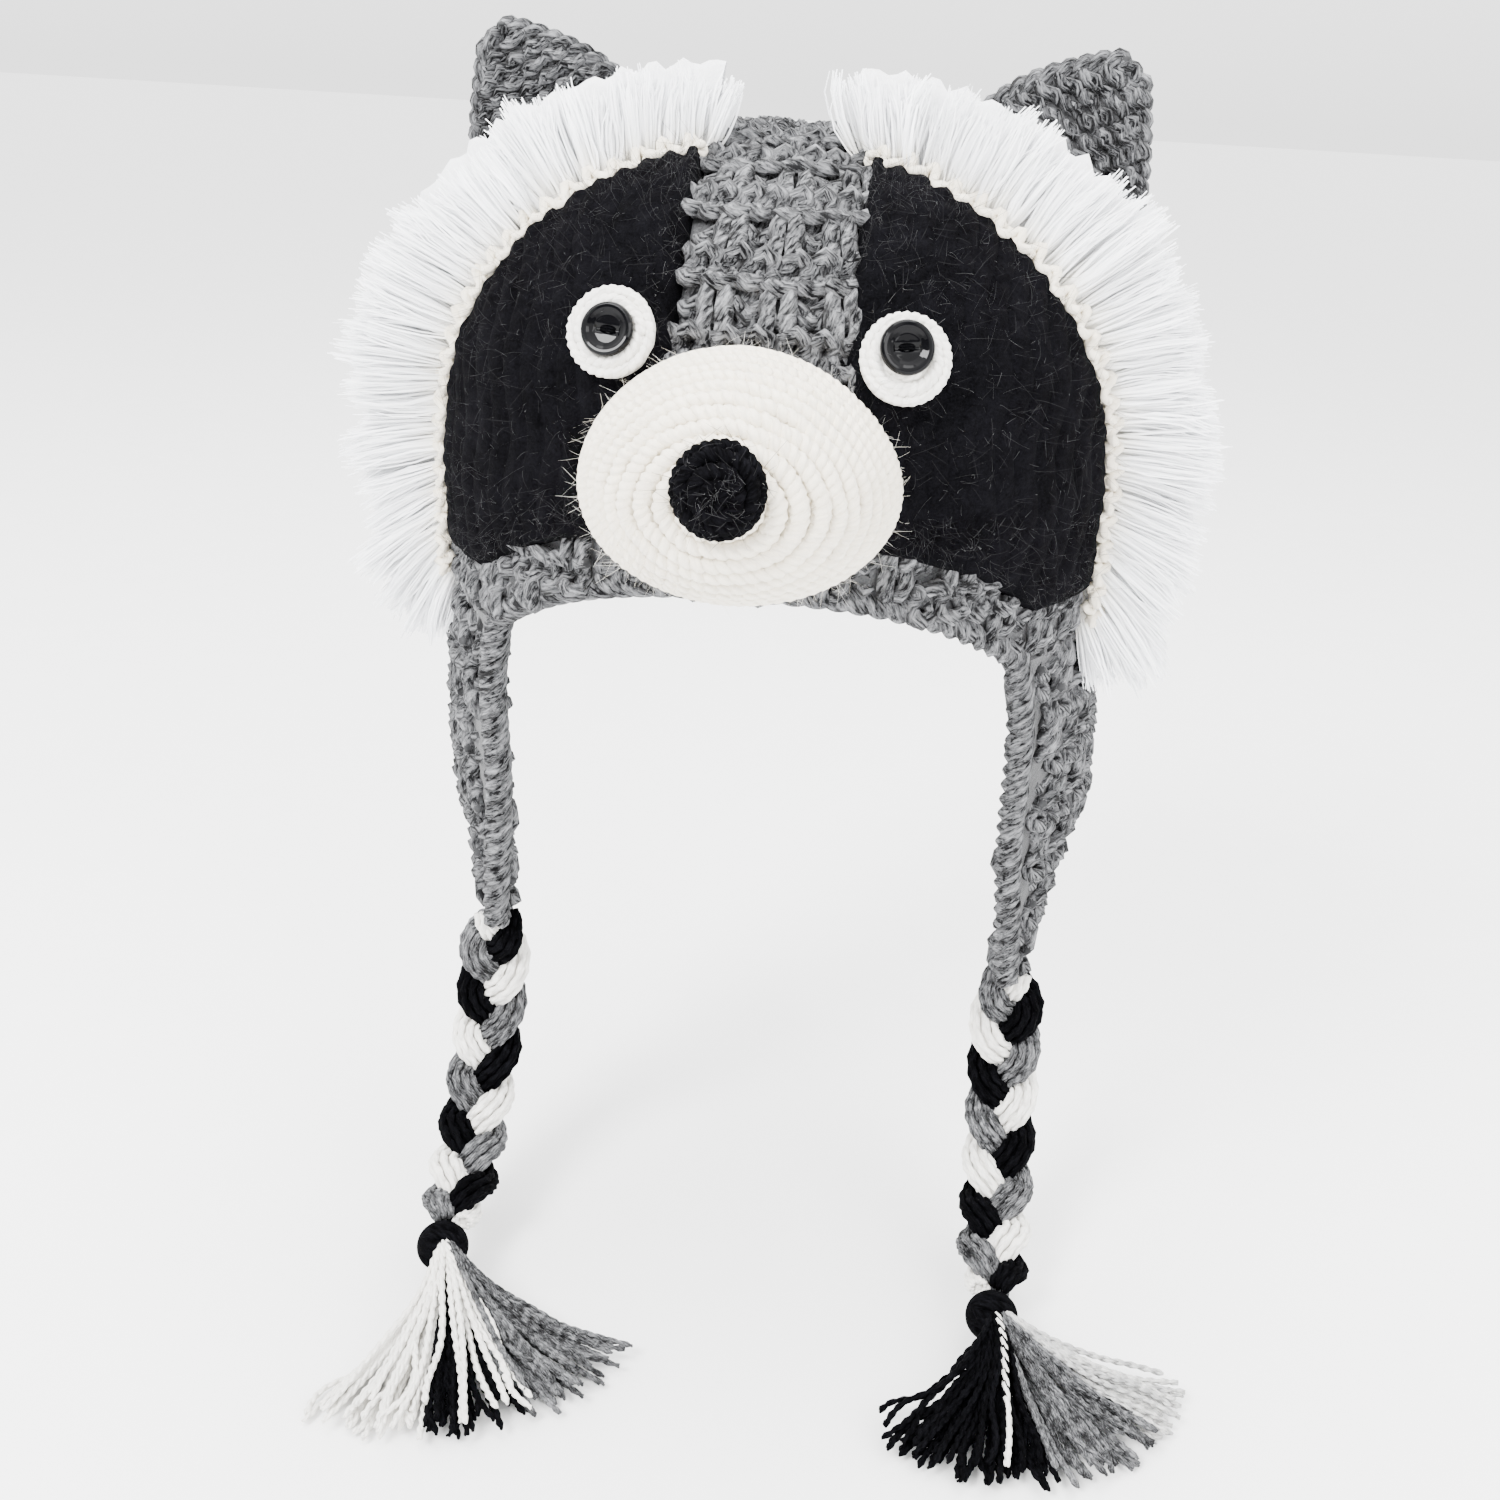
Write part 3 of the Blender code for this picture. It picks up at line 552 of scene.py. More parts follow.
LEVELS = np.linspace(0, 1, 400)
MEAN_HALF = (HALF_WIDTH + HALF_DEPTH) / 2 + KNIT_WALL
MERIDIAN = np.concatenate(
    [[0], np.cumsum(np.hypot(np.diff(dome_radius(LEVELS) * MEAN_HALF), np.diff(dome_rise(LEVELS) * (HEAD_HEIGHT + KNIT_WALL))))]
)
DOME_REACH = MERIDIAN[-1]


def head_at(angle, down, out):
    """Points at this turn from the front in degrees, distance down from the top, and distance out."""
    angle, down = np.broadcast_arrays(np.asarray(angle, float), np.asarray(down, float))
    level = np.interp(down, MERIDIAN, LEVELS)
    radius = dome_radius(level)
    turn = np.radians(angle)
    x = (HALF_WIDTH + out) * radius * np.sin(turn)
    y = -(HALF_DEPTH + out) * radius * np.cos(turn)
    z = (HEAD_HEIGHT + out) * dome_rise(level) - HEAD_HEIGHT - np.maximum(down - DOME_REACH, 0)
    return np.stack(np.broadcast_arrays(x, y, z), -1)


def flap_tip(side_name):
    """The middle of a flap's lower end, as on the right side, from where its node is."""
    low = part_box(f"ear_flap_{side_name}")[0][2]
    return np.array((HALF_WIDTH + KNIT_WALL / 2 - FLAP_TUCK, FLAP_TIP_BACK, low))


def flap_edges(down):
    """How far forward and back a flap reaches at this share of its length."""
    narrow = np.clip(1 - down, 0.0, None) ** FLAP_TAPER_POWER
    end = FLAP_TIP_WIDTH / 2 * np.sqrt(np.maximum(1 - (np.maximum(down - 0.9, 0) / 0.18) ** 2, 0))
    front = -HALF_DEPTH * math.cos(math.radians(ARCH_ANGLE))
    back = -HALF_DEPTH * math.cos(math.radians(FLAP_BACK_ANGLE))
    low, high = FLAP_TIP_BACK - end, FLAP_TIP_BACK + end
    return low + (front - low) * narrow, high + (back - high) * narrow


def flap_at(y, down, out, length):
    """Points of the right flap at y, this share down from the crown's rim."""
    first, last = flap_edges(down)
    share = np.clip((y - first) / np.maximum(last - first, 1e-6), 0, 1)
    x = HALF_WIDTH * np.sqrt(np.maximum(1 - (y / HALF_DEPTH) ** 2, 0))
    x = x + FLAP_FLARE * (1.3 * share - 0.3) * np.sin(np.pi * np.clip(down, 0, 1)) ** 2 - FLAP_TUCK * ease(down)
    outward = np.stack(np.broadcast_arrays(x / HALF_WIDTH**2, y / HALF_DEPTH**2, 0 * y), -1)
    spot = np.stack(np.broadcast_arrays(x, y, -RIM_SIDE - down * length), -1)
    return spot + unit(outward) * np.asarray(out)[..., None]


def stitch_row(place, columns, row, sign, raised, rng, steps=10, reach=1.55):
    """One row of stitches as a yarn line. place(column, row, out) bends it onto the fabric.

    sign and raised hold one value a stitch: 1 for knit and -1 for purl, and how far it stands out.
    A knit stitch shows its two upright legs, and a purl stitch the bow that joins them.
    """
    count = len(columns)
    turns = np.arange(count * steps + 1) / steps
    centres = np.arange(count) + 0.5
    edges = np.sort(np.concatenate([centres - 0.22, centres + 0.22]))
    knit = np.interp(turns, edges, np.repeat(sign, 2))
    proud = np.interp(turns, centres, raised)
    jitter = np.interp(turns, centres, rng.normal(0, 0.07, count))
    t = 2 * np.pi * turns
    across = columns[0] + turns + (0.165 - 0.065 * knit) * np.sin(2 * t) + 0.5 * jitter
    up = row + 0.5 + (reach / 2 + 0.12 * knit) * np.cos(t) + jitter
    out = -0.0017 * np.cos(2 * t) * knit + proud + 0.004 * jitter
    return place(across, up, out)


def runs_of(kept):
    """Start and end of each stretch of true values."""
    edges = np.flatnonzero(np.diff(np.concatenate([[0], kept.astype(int), [0]])))
    return list(zip(edges[::2], edges[1::2]))


def rib_shift(across):
    """Widens the knit wales, which are the even ones, at the cost of the purl wales."""
    return across - 0.085 * np.cos(np.pi * across)


def knit_pattern(row, columns):
    """Two rows of knit one, purl one, then a purl ridge."""
    if row % 3 == 2:
        return -np.ones(len(columns)), np.full(len(columns), 0.0011)
    knit = np.where(columns % 2 == 0, 1.0, -1.0)
    return knit, np.where(knit > 0, 0.0010, -0.0019)


def covered(points, level):
    """Where the patches or the snout hide the crown."""
    x, y, z = points[..., 0], points[..., 1], points[..., 2]
    edge = side_edge(level)
    angle = np.degrees(np.arctan2(x / HALF_WIDTH, -y / HALF_DEPTH))
    patch = (np.abs(x) > STRIP_HALF + 0.0015) & (-y > edge + 0.002) & (z > rim_height(angle) + RIM_BAND + 0.002)
    snout = (np.hypot((x - MUZZLE_SHIFT) / 0.033, (z + MUZZLE_DROP) / 0.024) < 1) & (y < 0)
    return patch | snout


def side_edge(level):
    """How far in front of the middle a patch's outer edge runs: it bows forward between its ends."""
    across = HALF_WIDTH + KNIT_WALL + PATCH_GAP
    first = np.arcsin((STRIP_HALF / across) ** (DOME_POWER / 2)) * 2 / np.pi
    share = np.clip((level - first) / (1 - first), 0, 1)
    return PATCH_PLANE + PATCH_BOW * np.sin(np.pi * share)


class HAT_OT_knit_crown(bpy.types.Operator):
    """Knit the crown's yarn over its solid wall"""

    bl_idname = "hat.knit_crown"
    bl_label = "Knit crown"

    def execute(self, context):
        yarn = settings().yarn
        rng = np.random.default_rng(11)
        base = KNIT_WALL + 0.0002
        parts = {"crown_knit_front": Yarns(), "crown_knit_back": Yarns()}
        height = yarn.stitch_height
        rows = int((DOME_REACH + RIM_BACK - HEAD_HEIGHT) / height) + 1
        for row in range(rows):
            down = (row + 0.5) * height
            radius = float(dome_radius(np.interp(down, MERIDIAN, LEVELS)))
            wales = next(count for share, count in CROWN_WALES if radius >= share)

            def place(across, up, out):
                angle = rib_shift(across) * 360.0 / wales - 180.0
                depth = down - (up - 0.5) * height
                spot = head_at(angle, depth, base + out)
                return spot

            columns = np.arange(wales)
            angles = (columns + 0.5) * 360.0 / wales - 180.0
            middle = head_at(angles, np.full(wales, down), base)
            level = np.interp(down, MERIDIAN, LEVELS)
            kept = (middle[:, 2] > rim_height(angles) + 0.0035) & ~covered(middle, level)
            if down < 0.006:
                continue
            for first, last in runs_of(kept):
                picked = columns[first:last]
                knit, raised = knit_pattern(rows - row, picked)
                line = stitch_row(place, picked, 0, knit, raised, rng)
                behind = line[:, 1].mean() > 0.0
                outward = unit(line * np.array((1, 1, 0)) + np.array((0, 0, 1)) * np.maximum(line[:, 2:] + HEAD_HEIGHT, 0))
                halves = split_line(line, outward, 400)
                for piece_line, piece_out in halves:
                    name = "crown_knit_back" if piece_line[:, 1].mean() > 0 else "crown_knit_front"
                    parts[name].add(piece_line, piece_out, yarn.radius, tint=0.5 + rng.normal(0, 0.05))
        for name, gathered in parts.items():
            add_piece(name, gathered.mesh(name), [finish_named("grey_yarn_melange")])
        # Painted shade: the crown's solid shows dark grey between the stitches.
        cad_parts["crown"].data.materials[0] = finish_named("dark_knit_back")
        return {"FINISHED"}


def split_line(line, outward, longest):
    """Cuts a long line into stretches that share their end points."""
    starts = range(0, len(line) - 1, longest)
    return [(line[start : start + longest + 1], outward[start : start + longest + 1]) for start in starts]


class HAT_OT_knit_flaps(bpy.types.Operator):
    """Knit both faces of the ear flaps"""

    bl_idname = "hat.knit_flaps"
    bl_label = "Knit ear flaps"

    def execute(self, context):
        yarn = settings().yarn
        width, height = yarn.stitch_width, yarn.stitch_height
        for side_name, side in SIDES.items():
            rng = np.random.default_rng(21 + side)
            length = -RIM_SIDE - flap_tip(side_name)[2]
            gathered = Yarns()
            rows = int(length / height)
            for row in range(rows):
                middle = (row + 0.5) * height / length
                first, last = flap_edges(np.array(middle))
                columns = np.arange(math.ceil((first + 0.001) / width), math.floor((last - 0.001) / width))
                if len(columns) < 1:
                    continue
                for face in (1, -1):
                    base = KNIT_WALL + 0.0002 if face > 0 else -0.0002

                    def place(across, up, out):
                        down = middle - (up - 0.5) * height / length
                        spot = flap_at(rib_shift(across) * width, down, base + face * out, length)
                        return spot * (side, 1, 1)

                    knit, raised = knit_pattern(row + (0 if face > 0 else 1), columns)
                    line = stitch_row(place, columns, 0, knit, raised, rng)
                    outward = np.array((face * side, 0.0, 0.0))
                    gathered.add(line, outward, yarn.radius, tint=0.5 + rng.normal(0, 0.05))
            name = f"flap_knit_{side_name}"
            add_piece(name, gathered.mesh(name), [finish_named("grey_yarn_melange")])
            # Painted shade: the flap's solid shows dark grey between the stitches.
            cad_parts[f"ear_flap_{side_name}"].data.materials[0] = finish_named("dark_knit_back")
        return {"FINISHED"}


def rim_line(first, last, steps):
    """Points along the crown's rim at mid wall, between two turns from the front."""
    angle = np.linspace(first, last, steps)
    down = DOME_REACH - HEAD_HEIGHT - rim_height(angle)
    return head_at(angle, down, KNIT_WALL / 2)


def flap_line(side_name, back):
    """Points down one edge of a flap at mid wall."""
    length = -RIM_SIDE - flap_tip(side_name)[2]
    down = np.linspace(0, 1, 40)
    edge = flap_edges(down)[1 if back else 0]
    return flap_at(edge, down, KNIT_WALL / 2, length) * (SIDES[side_name], 1, 1)


def evenly(line, spacing):
    """The line with points at even distances."""
    reach = np.concatenate([[0], np.cumsum(np.linalg.norm(np.diff(line, axis=0), axis=1))])
    count = max(int(reach[-1] / spacing), 2)
    at = np.linspace(0, reach[-1], count + 1)
    return np.stack([np.interp(at, reach, line[:, axis]) for axis in range(3)], -1)


def twist_strands(
    gathered, line, strands, swing, pitch, radius, reference, tint=0.5, slot=0, phase=0.0
):
    """Strands that wind round a line."""
    ahead = unit(np.gradient(line, axis=0))
    across = unit(np.cross(ahead, np.broadcast_to(reference, line.shape)))
    lift = np.cross(across, ahead)
    reach = np.concatenate([[0], np.cumsum(np.linalg.norm(np.diff(line, axis=0), axis=1))])
    for strand in range(strands):
        turn = 2 * np.pi * (reach / pitch + strand / strands) + phase
        wound = line + swing * (across * np.cos(turn)[:, None] + lift * np.sin(turn)[:, None])
        gathered.add(wound, lift, radius, slot=slot, tint=tint)


class HAT_OT_edge_rim(bpy.types.Operator):
    """Work the rope-like crochet edging along the rim and round the flaps"""

    bl_idname = "hat.edge_rim"
    bl_label = "Edge rim"

    def execute(self, context):
        radius = settings().yarn.radius
        gathered = Yarns(sides=5)
        left, right = (
            np.concatenate([flap_line(side_name, False), flap_line(side_name, True)[::-1]]) for side_name in SIDES
        )
        front = rim_line(-ARCH_ANGLE, ARCH_ANGLE, 60)
        back = rim_line(FLAP_BACK_ANGLE, 360 - FLAP_BACK_ANGLE, 90)
        loop = evenly(np.concatenate([front, right, back, left[::-1]]), 0.0011)
        middle = np.array((0, 0, -HEAD_HEIGHT))
        outward = unit((loop - middle) * (1, 1, 0))
        for strand in range(3):
            reach = np.arange(len(loop)) * 0.0011
            ahead = unit(np.gradient(loop, axis=0))
            across = unit(np.cross(ahead, outward))
            turn = 2 * np.pi * (reach / 0.0165 + strand / 3)
            swing = across * (0.0015 * np.sin(turn))[:, None] + outward * (0.0021 * np.cos(turn))[:, None]
            gathered.add(loop + swing, outward, radius * 1.02, tint=0.5)
        add_piece("rim_edging", gathered.mesh("rim_edging"), [finish_named("grey_yarn_melange")])
        return {"FINISHED"}


def patch_place(u, v, out):
    """A point of the right eye patch: u from the strip to the fur, v from the top down, both shares."""
    across, along = HALF_WIDTH + out, HALF_DEPTH + out
    base_out = KNIT_WALL + PATCH_GAP
    levels = np.linspace(0.2, 1, 400)
    reach = np.hypot(STRIP_HALF / (HALF_WIDTH + base_out), side_edge(levels) / (HALF_DEPTH + base_out))
    first = levels[np.argmax(dome_radius(levels) >= reach)]
    split = 0.80
    level = first + (1 - first) * np.minimum(v / split, 1)
    radius = dome_radius(level)
    inner = np.arcsin(np.minimum(STRIP_HALF / ((HALF_WIDTH + base_out) * radius), 1))
    outer = np.arccos(np.minimum(side_edge(level) / ((HALF_DEPTH + base_out) * radius), 1))
    turn = inner + np.maximum(outer - inner, 0) * u
    band = np.maximum(v - split, 0) / (1 - split)
    z = (HEAD_HEIGHT + out) * dome_rise(level) - HEAD_HEIGHT
    z = z + band * (rim_height(np.degrees(turn)) + RIM_BAND + HEAD_HEIGHT)
    return np.stack([across * radius * np.sin(turn), -along * radius * np.cos(turn), z], -1)


class HAT_OT_eye_patches(bpy.types.Operator):
    """Make the black felted crochet patches with their stray fibres"""

    bl_idname = "hat.eye_patches"
    bl_label = "Eye patches"

    def execute(self, context):
        full = KNIT_WALL + PATCH_GAP + PATCH_THICKNESS
        for side_name, side in SIDES.items():
            rng = np.random.default_rng(31 + side)
            waves = rng.uniform(0, 2 * np.pi, (6, 3))

            def place(u, v):
                flat = patch_place(u, v, full)
                x, y, z = flat[..., 0], flat[..., 1], flat[..., 2]
                width = 0.075 * np.sin(np.pi * np.clip(v * 0.62 + 0.02, 0, 1)) ** 0.7
                inset = np.minimum.reduce([u * width, (1 - u) * width, (1 - v) * 0.10, v * 0.12])
                round_edge = np.sqrt(1 - (1 - np.clip(inset / 0.0045, 0, 1)) ** 2)
                column = x * 1000 / 5.2 + 0.25 * np.sin(z * 190 + waves[0, 0])
                row = z * 1000 / 5.0 + 0.5 * (np.floor(column) % 2) + 0.2 * np.sin(x * 160 + waves[0, 1])
                knob = np.abs(np.sin(np.pi * column)) ** 0.7 * (0.45 + 0.55 * np.abs(np.sin(np.pi * row)))
                rough = sum(
                    np.sin(x * f * a + y * f * b + z * f * c)
                    for (a, b, c), f in zip(waves / np.pi - 1, (300, 450, 620, 900, 1300, 1700))
                ) / 6
                out = KNIT_WALL - 0.0006 + (PATCH_THICKNESS + PATCH_GAP + 0.0006) * round_edge
                out = out + (0.0011 * knob + 0.0005 * rough) * round_edge
                out = out + 0.0016 * np.sin(np.pi * np.clip(u, 0, 1)) * np.sin(np.pi * np.clip(v, 0, 1))
                return patch_place(u, v, out) * (side, 1, 1)

            name = f"patch_wool_{side_name}"
            mesh = grid_mesh(name, place, 150, 170)
            if side < 0:
                mesh.flip_normals()
            add_piece(name, mesh, [finish_named("black_felted_wool")], [f"eye_patch_{side_name}"])
            u, v = rng.uniform(0.0, 1.0, 2600), rng.uniform(0.0, 1.0, 2600) ** 0.8
            roots = patch_place(u, v, full + 0.0006) * (side, 1, 1)
            outward = unit(roots - np.array((0, 0, -0.07)))
            fuzz = stray_hairs(roots, outward, rng, 0.0048, 0.00010)
            name = f"patch_fuzz_{side_name}"
            add_piece(name, fuzz.mesh(name), [finish_named("black_fuzz")])
        return {"FINISHED"}


def stray_hairs(roots, outward, rng, length, width):
    """Short curling fibres that stand off the wool."""
    count = len(roots)
    drift = unit(rng.normal(0, 1, (count, 3)))
    heading = unit(outward * 0.45 + drift)
    curl = unit(rng.normal(0, 1, (count, 3)))
    reach = rng.uniform(0.4, 1.3, count) * length
    share = np.linspace(0, 1, 5)
    lines = (
        roots[:, None]
        + heading[:, None] * (share[None] * reach[:, None])[..., None]
        + curl[:, None] * (share[None] ** 2 * reach[:, None] * 1.1)[..., None]
    )
    hairs = Hairs()
    hairs.add(lines, np.full(count, width), np.cross(heading, curl), rng.uniform(0.2, 0.8, count))
    return hairs


def fur_arc():
    """The seat of the right trim, along the outer edge of its patch."""
    out = KNIT_WALL + PATCH_GAP
    across, along = HALF_WIDTH + out, HALF_DEPTH + out
    levels = np.linspace(0.2, 1, 400)
    edges = side_edge(levels)
    reach = np.hypot((STRIP_HALF - 0.001) / across, edges / along)
    start = np.argmax(dome_radius(levels) >= reach)
    levels, edges = levels[start:], edges[start:]
    x = across * np.sqrt(np.maximum(dome_radius(levels) ** 2 - (edges / along) ** 2, 0))
    z = (HEAD_HEIGHT + out) * dome_rise(levels) - HEAD_HEIGHT
    arc = np.stack([x, -edges, z], -1)
    tail = np.stack([np.full(20, x[-1]), np.full(20, -edges[-1]), np.linspace(z[-1], -FUR_END_DROP, 21)[1:]], -1)
    return evenly(np.concatenate([arc, tail]), 0.0005)


def on_arc(arc, share):
    """Points at these shares of the arc's length."""
    at = np.clip(share, 0, 1) * (len(arc) - 1)
    return np.stack([np.interp(at, np.arange(len(arc)), arc[:, axis]) for axis in range(3)], -1)


class HAT_OT_fur_trims(bpy.types.Operator):
    """Stand the white fur behind each patch, over a soft core and a gathered seam"""

    bl_idname = "hat.fur_trims"
    bl_label = "Fur trims"

    def execute(self, context):
        fur = settings().fur
        arc = fur_arc()
        shares, directions, lengths = np.array(FUR_FAN).T
        for side_name, side in SIDES.items():
            rng = np.random.default_rng(41 + side)
            count = fur.hairs
            at = np.linspace(0, 1, 200)
            fan = np.radians(np.interp(at, shares, directions))
            outer = on_arc(arc, at)
            rise = 0.6 * FUR_LENGTH * np.interp(at, shares, lengths)
            outer[:, 0] += rise * np.cos(fan)
            outer[:, 2] += rise * np.sin(fan)
            spacing = np.linalg.norm(np.diff(outer, axis=0), axis=1)
            gone = np.concatenate([[0], np.cumsum(spacing)])
            root = np.interp(rng.uniform(0, gone[-1], count), gone, at)
            locks, wisps = 24, 210
            lock_turn = rng.uniform(-6, 6, locks + 2)
            lock_long = rng.uniform(0.86, 1.05, locks + 2)
            lock_lean = rng.uniform(-0.004, 0.004, locks + 2)
            lock, wisp = root * locks, root * wisps
            slide = 0.35 * (np.round(lock) - lock) / locks + 0.75 * (np.round(wisp) - wisp) / wisps
            depth = rng.uniform(-0.5, 0.5, count)
            seat = on_arc(arc, root)
            seat_slide = on_arc(arc, root + slide) - seat
            seat[:, 1] += PATCH_GAP + FUR_THICKNESS / 2 + depth * FUR_THICKNESS * 0.9
            steps = np.linspace(0, 1, 5)
            wisp_turn = rng.normal(0, 3.0, wisps + 2)[np.round(wisp).astype(int)]
            direction = np.radians(
                np.interp(root, shares, directions)
                + np.interp(lock, np.arange(locks + 2), lock_turn)
                + wisp_turn
                + rng.normal(0, 1.6, count)
            )
            wisp_long = rng.uniform(0.88, 1.03, wisps + 2)[np.round(wisp).astype(int)]
            length = FUR_LENGTH * np.interp(root, shares, lengths) * rng.uniform(0.84, 1.02, count) * wisp_long
            length *= np.interp(lock, np.arange(locks + 2), lock_long)
            lean = np.interp(lock, np.arange(locks + 2), lock_lean) + depth * 0.006
            lines = seat[:, None] + seat_slide[:, None] * (steps[None] ** 1.5)[..., None]
            reach = length[:, None] * steps[None]
            lines[..., 0] += reach * np.cos(direction)[:, None]
            lines[..., 2] += reach * np.sin(direction)[:, None] - 0.0045 * steps[None] ** 2
            lines[..., 1] += lean[:, None] * steps[None] ** 1.3 - 0.002 * np.sin(np.pi * steps)[None]
            curl = rng.normal(0, 0.0007, (count, 3)) + rng.normal(0, 0.0012, (wisps + 2, 3))[np.round(wisp).astype(int)]
            lines += curl[:, None] * np.sin(np.pi * steps * 0.8)[None, :, None] * 1.3
            lines *= (side, 1, 1)
            sideways = np.stack([-np.sin(direction) * side, rng.normal(0, 0.5, count), np.cos(direction)], -1)
            # Painted shade: hairs set further back in the pile are darker, and whole wisps are darker or lighter at
            # random, standing in for the shade between clumps.
            wisp_shade = rng.normal(0, 0.16, wisps + 2)[np.round(wisp).astype(int)]
            tints = np.clip(0.55 + wisp_shade - 0.25 * depth + rng.normal(0, 0.12, count), 0, 1)
            hairs = Hairs()
            hairs.add(lines, rng.uniform(0.7, 1.3, count) * fur.hair_width, sideways, tints)
            name = f"fur_hair_{side_name}"
            add_piece(
                name, hairs.mesh(name), [finish_named("white_fur_pile")], [f"fur_trim_{side_name}"]
            )

            def core(u, v):
                spot = on_arc(arc, 0.01 + 0.98 * u)
                heading = np.radians(np.interp(u, shares, directions))
                rise = np.sin(np.pi * v) ** 0.6 * FUR_LENGTH * np.interp(u, shares, lengths)
                rise = rise * (0.86 + 0.03 * np.sin(2 * np.pi * 24 * u) + 0.02 * np.sin(2 * np.pi * 61 * u))
                spot[..., 1] += PATCH_GAP + FUR_THICKNESS / 2 - np.cos(np.pi * v) * FUR_THICKNESS * 0.30
                spot[..., 0] += rise * np.cos(heading)
                spot[..., 2] += rise * np.sin(heading)
                return spot * (side, 1, 1)

            # The core carries painted shade inside the pile: white mixed with bluish grey.
            name = f"fur_core_{side_name}"
            add_piece(name, grid_mesh(name, core, 90, 14), [finish_named("fur_core")])
            gathered = Yarns(sides=6, ply_pitch=0.004)
            for layer, (lift, swing, pitch) in enumerate(((0.0098, 0.0019, 0.0047), (0.0116, 0.0026, 0.0061))):
                line = evenly(arc, 0.0006)
                outward = unit(line - np.array((0, 0, -0.07)))
                reach = np.arange(len(line)) * 0.0006
                ahead = unit(np.gradient(line, axis=0))
                across = unit(np.cross(ahead, outward))
                wander = np.sin(2 * np.pi * reach / pitch + layer * 2) + 0.35 * np.sin(2 * np.pi * reach / (pitch * 2.7))
                raised = lift - KNIT_WALL - PATCH_GAP + 0.0009 * np.cos(4 * np.pi * reach / pitch)
                line = line + outward * raised[:, None] + across * (swing * wander)[:, None] + (0, -0.0004, 0)
                gathered.add(line * (side, 1, 1), outward * (side, 1, 1), 0.00125, tint=0.5)
            name = f"fur_seam_{side_name}"
            add_piece(name, gathered.mesh(name), [finish_named("cream_crochet")])
        return {"FINISHED"}


def ear_place(u, height, thick):
    """A point of the right ear: u along its base, height to the tip, thick from front to back."""
    out = KNIT_WALL + PATCH_GAP
    levels = EAR_LEVELS[0] + (EAR_LEVELS[1] - EAR_LEVELS[0]) * u
    turn = math.radians(EAR_ANGLE)
    radius = dome_radius(levels)
    seat = np.stack(
        [
            (HALF_WIDTH + out) * radius * math.sin(turn),
            -(HALF_DEPTH + out) * radius * math.cos(turn),
            (HEAD_HEIGHT + out) * dome_rise(levels) - HEAD_HEIGHT,
        ],
        -1,
    )
    ends = EAR_ENDS
    edge = unit(ends[1] - ends[0])
    top = EAR_TIP + edge * (EAR_TIP_WIDTH * (u - 0.5))[..., None]
    point = seat + (top - seat) * height[..., None]
    point = point + edge * (EAR_BULGE * (u - 0.5) * np.sin(np.pi * height))[..., None]
    puff = 0.55 + 0.45 * np.sqrt(np.maximum(1 - (2 * u - 1) ** 2, 0))
    section = np.interp(height, (0, 0.35, 0.7, 1), (0.8, 1, 0.8, 0.5))
    point[..., 1] += thick * EAR_HALF_THICKNESS * puff * section
    return point


def ear_end(level):
    out = KNIT_WALL + PATCH_GAP
    turn = math.radians(EAR_ANGLE)
    radius = float(dome_radius(level))
    return np.array(
        [
            (HALF_WIDTH + out) * radius * math.sin(turn),
            -(HALF_DEPTH + out) * radius * math.cos(turn),
            (HEAD_HEIGHT + out) * float(dome_rise(level)) - HEAD_HEIGHT,
        ]
    )


EAR_ENDS = (ear_end(EAR_LEVELS[0]), ear_end(EAR_LEVELS[1]))


class HAT_OT_knit_ears(bpy.types.Operator):
    """Knit both faces of the ears in bobbly purl rows"""

    bl_idname = "hat.knit_ears"
    bl_label = "Knit ears"

    def execute(self, context):
        yarn = settings().yarn
        for side_name, side in SIDES.items():
            rng = np.random.default_rng(51 + side)
            gathered = Yarns()
            base_width = np.linalg.norm(EAR_ENDS[1] - EAR_ENDS[0])
            tall = np.linalg.norm(EAR_TIP - (EAR_ENDS[0] + EAR_ENDS[1]) / 2)
            rows = round(tall / 0.0052)
            for row in range(rows):
                height = (row + 0.5) / rows
                width = base_width * (1 - height) + EAR_TIP_WIDTH * height + EAR_BULGE * math.sin(math.pi * height)
                count = max(round(width / 0.0066), 1)
                for face in (-1, 1):

                    def place(across, up, out):
                        level = np.clip((row + up) / rows, 0, 1.03)
                        spot = ear_place(across / count, level, np.full(np.shape(across), float(face)))
                        spot[..., 1] += face * (out - 0.0006)
                        return spot * (side, 1, 1)

                    columns = np.arange(count)
                    line = stitch_row(place, columns, 0, -np.ones(count), np.zeros(count), rng)
                    gathered.add(line, (0.0, float(face), 0.0), yarn.radius * 0.86, tint=0.42 + rng.normal(0, 0.06))
            rim = np.linspace(0, 1, 40)
            edge = np.concatenate(
                [
                    ear_place(np.zeros(40), rim, np.zeros(40)),
                    ear_place(np.linspace(0, 1, 8), np.ones(8), np.zeros(8)),
                    ear_place(np.ones(40), rim[::-1], np.zeros(40)),
                ]
            )
            line = evenly(edge * (side, 1, 1), 0.001)
            twist_strands(gathered, line, 2, 0.0015, 0.009, yarn.radius * 0.86, (0.0, 1.0, 0.0), tint=0.5)
            name = f"ear_knit_{side_name}"
            add_piece(name, gathered.mesh(name), [finish_named("grey_yarn_melange")])
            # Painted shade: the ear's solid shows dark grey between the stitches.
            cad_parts[f"ear_{side_name}"].data.materials[0] = finish_named("dark_knit_back")
        return {"FINISHED"}


def face_depth(x, z, out):
    """How far in front of the origin the head form is at this place of the face."""
    rise = np.clip((z + HEAD_HEIGHT) / (HEAD_HEIGHT + out), 0, 1)
    radius = (1 - rise**DOME_POWER) ** (1 / DOME_POWER)
    return (HALF_DEPTH + out) * np.sqrt(np.maximum(radius**2 - (x / (HALF_WIDTH + out)) ** 2, 0))


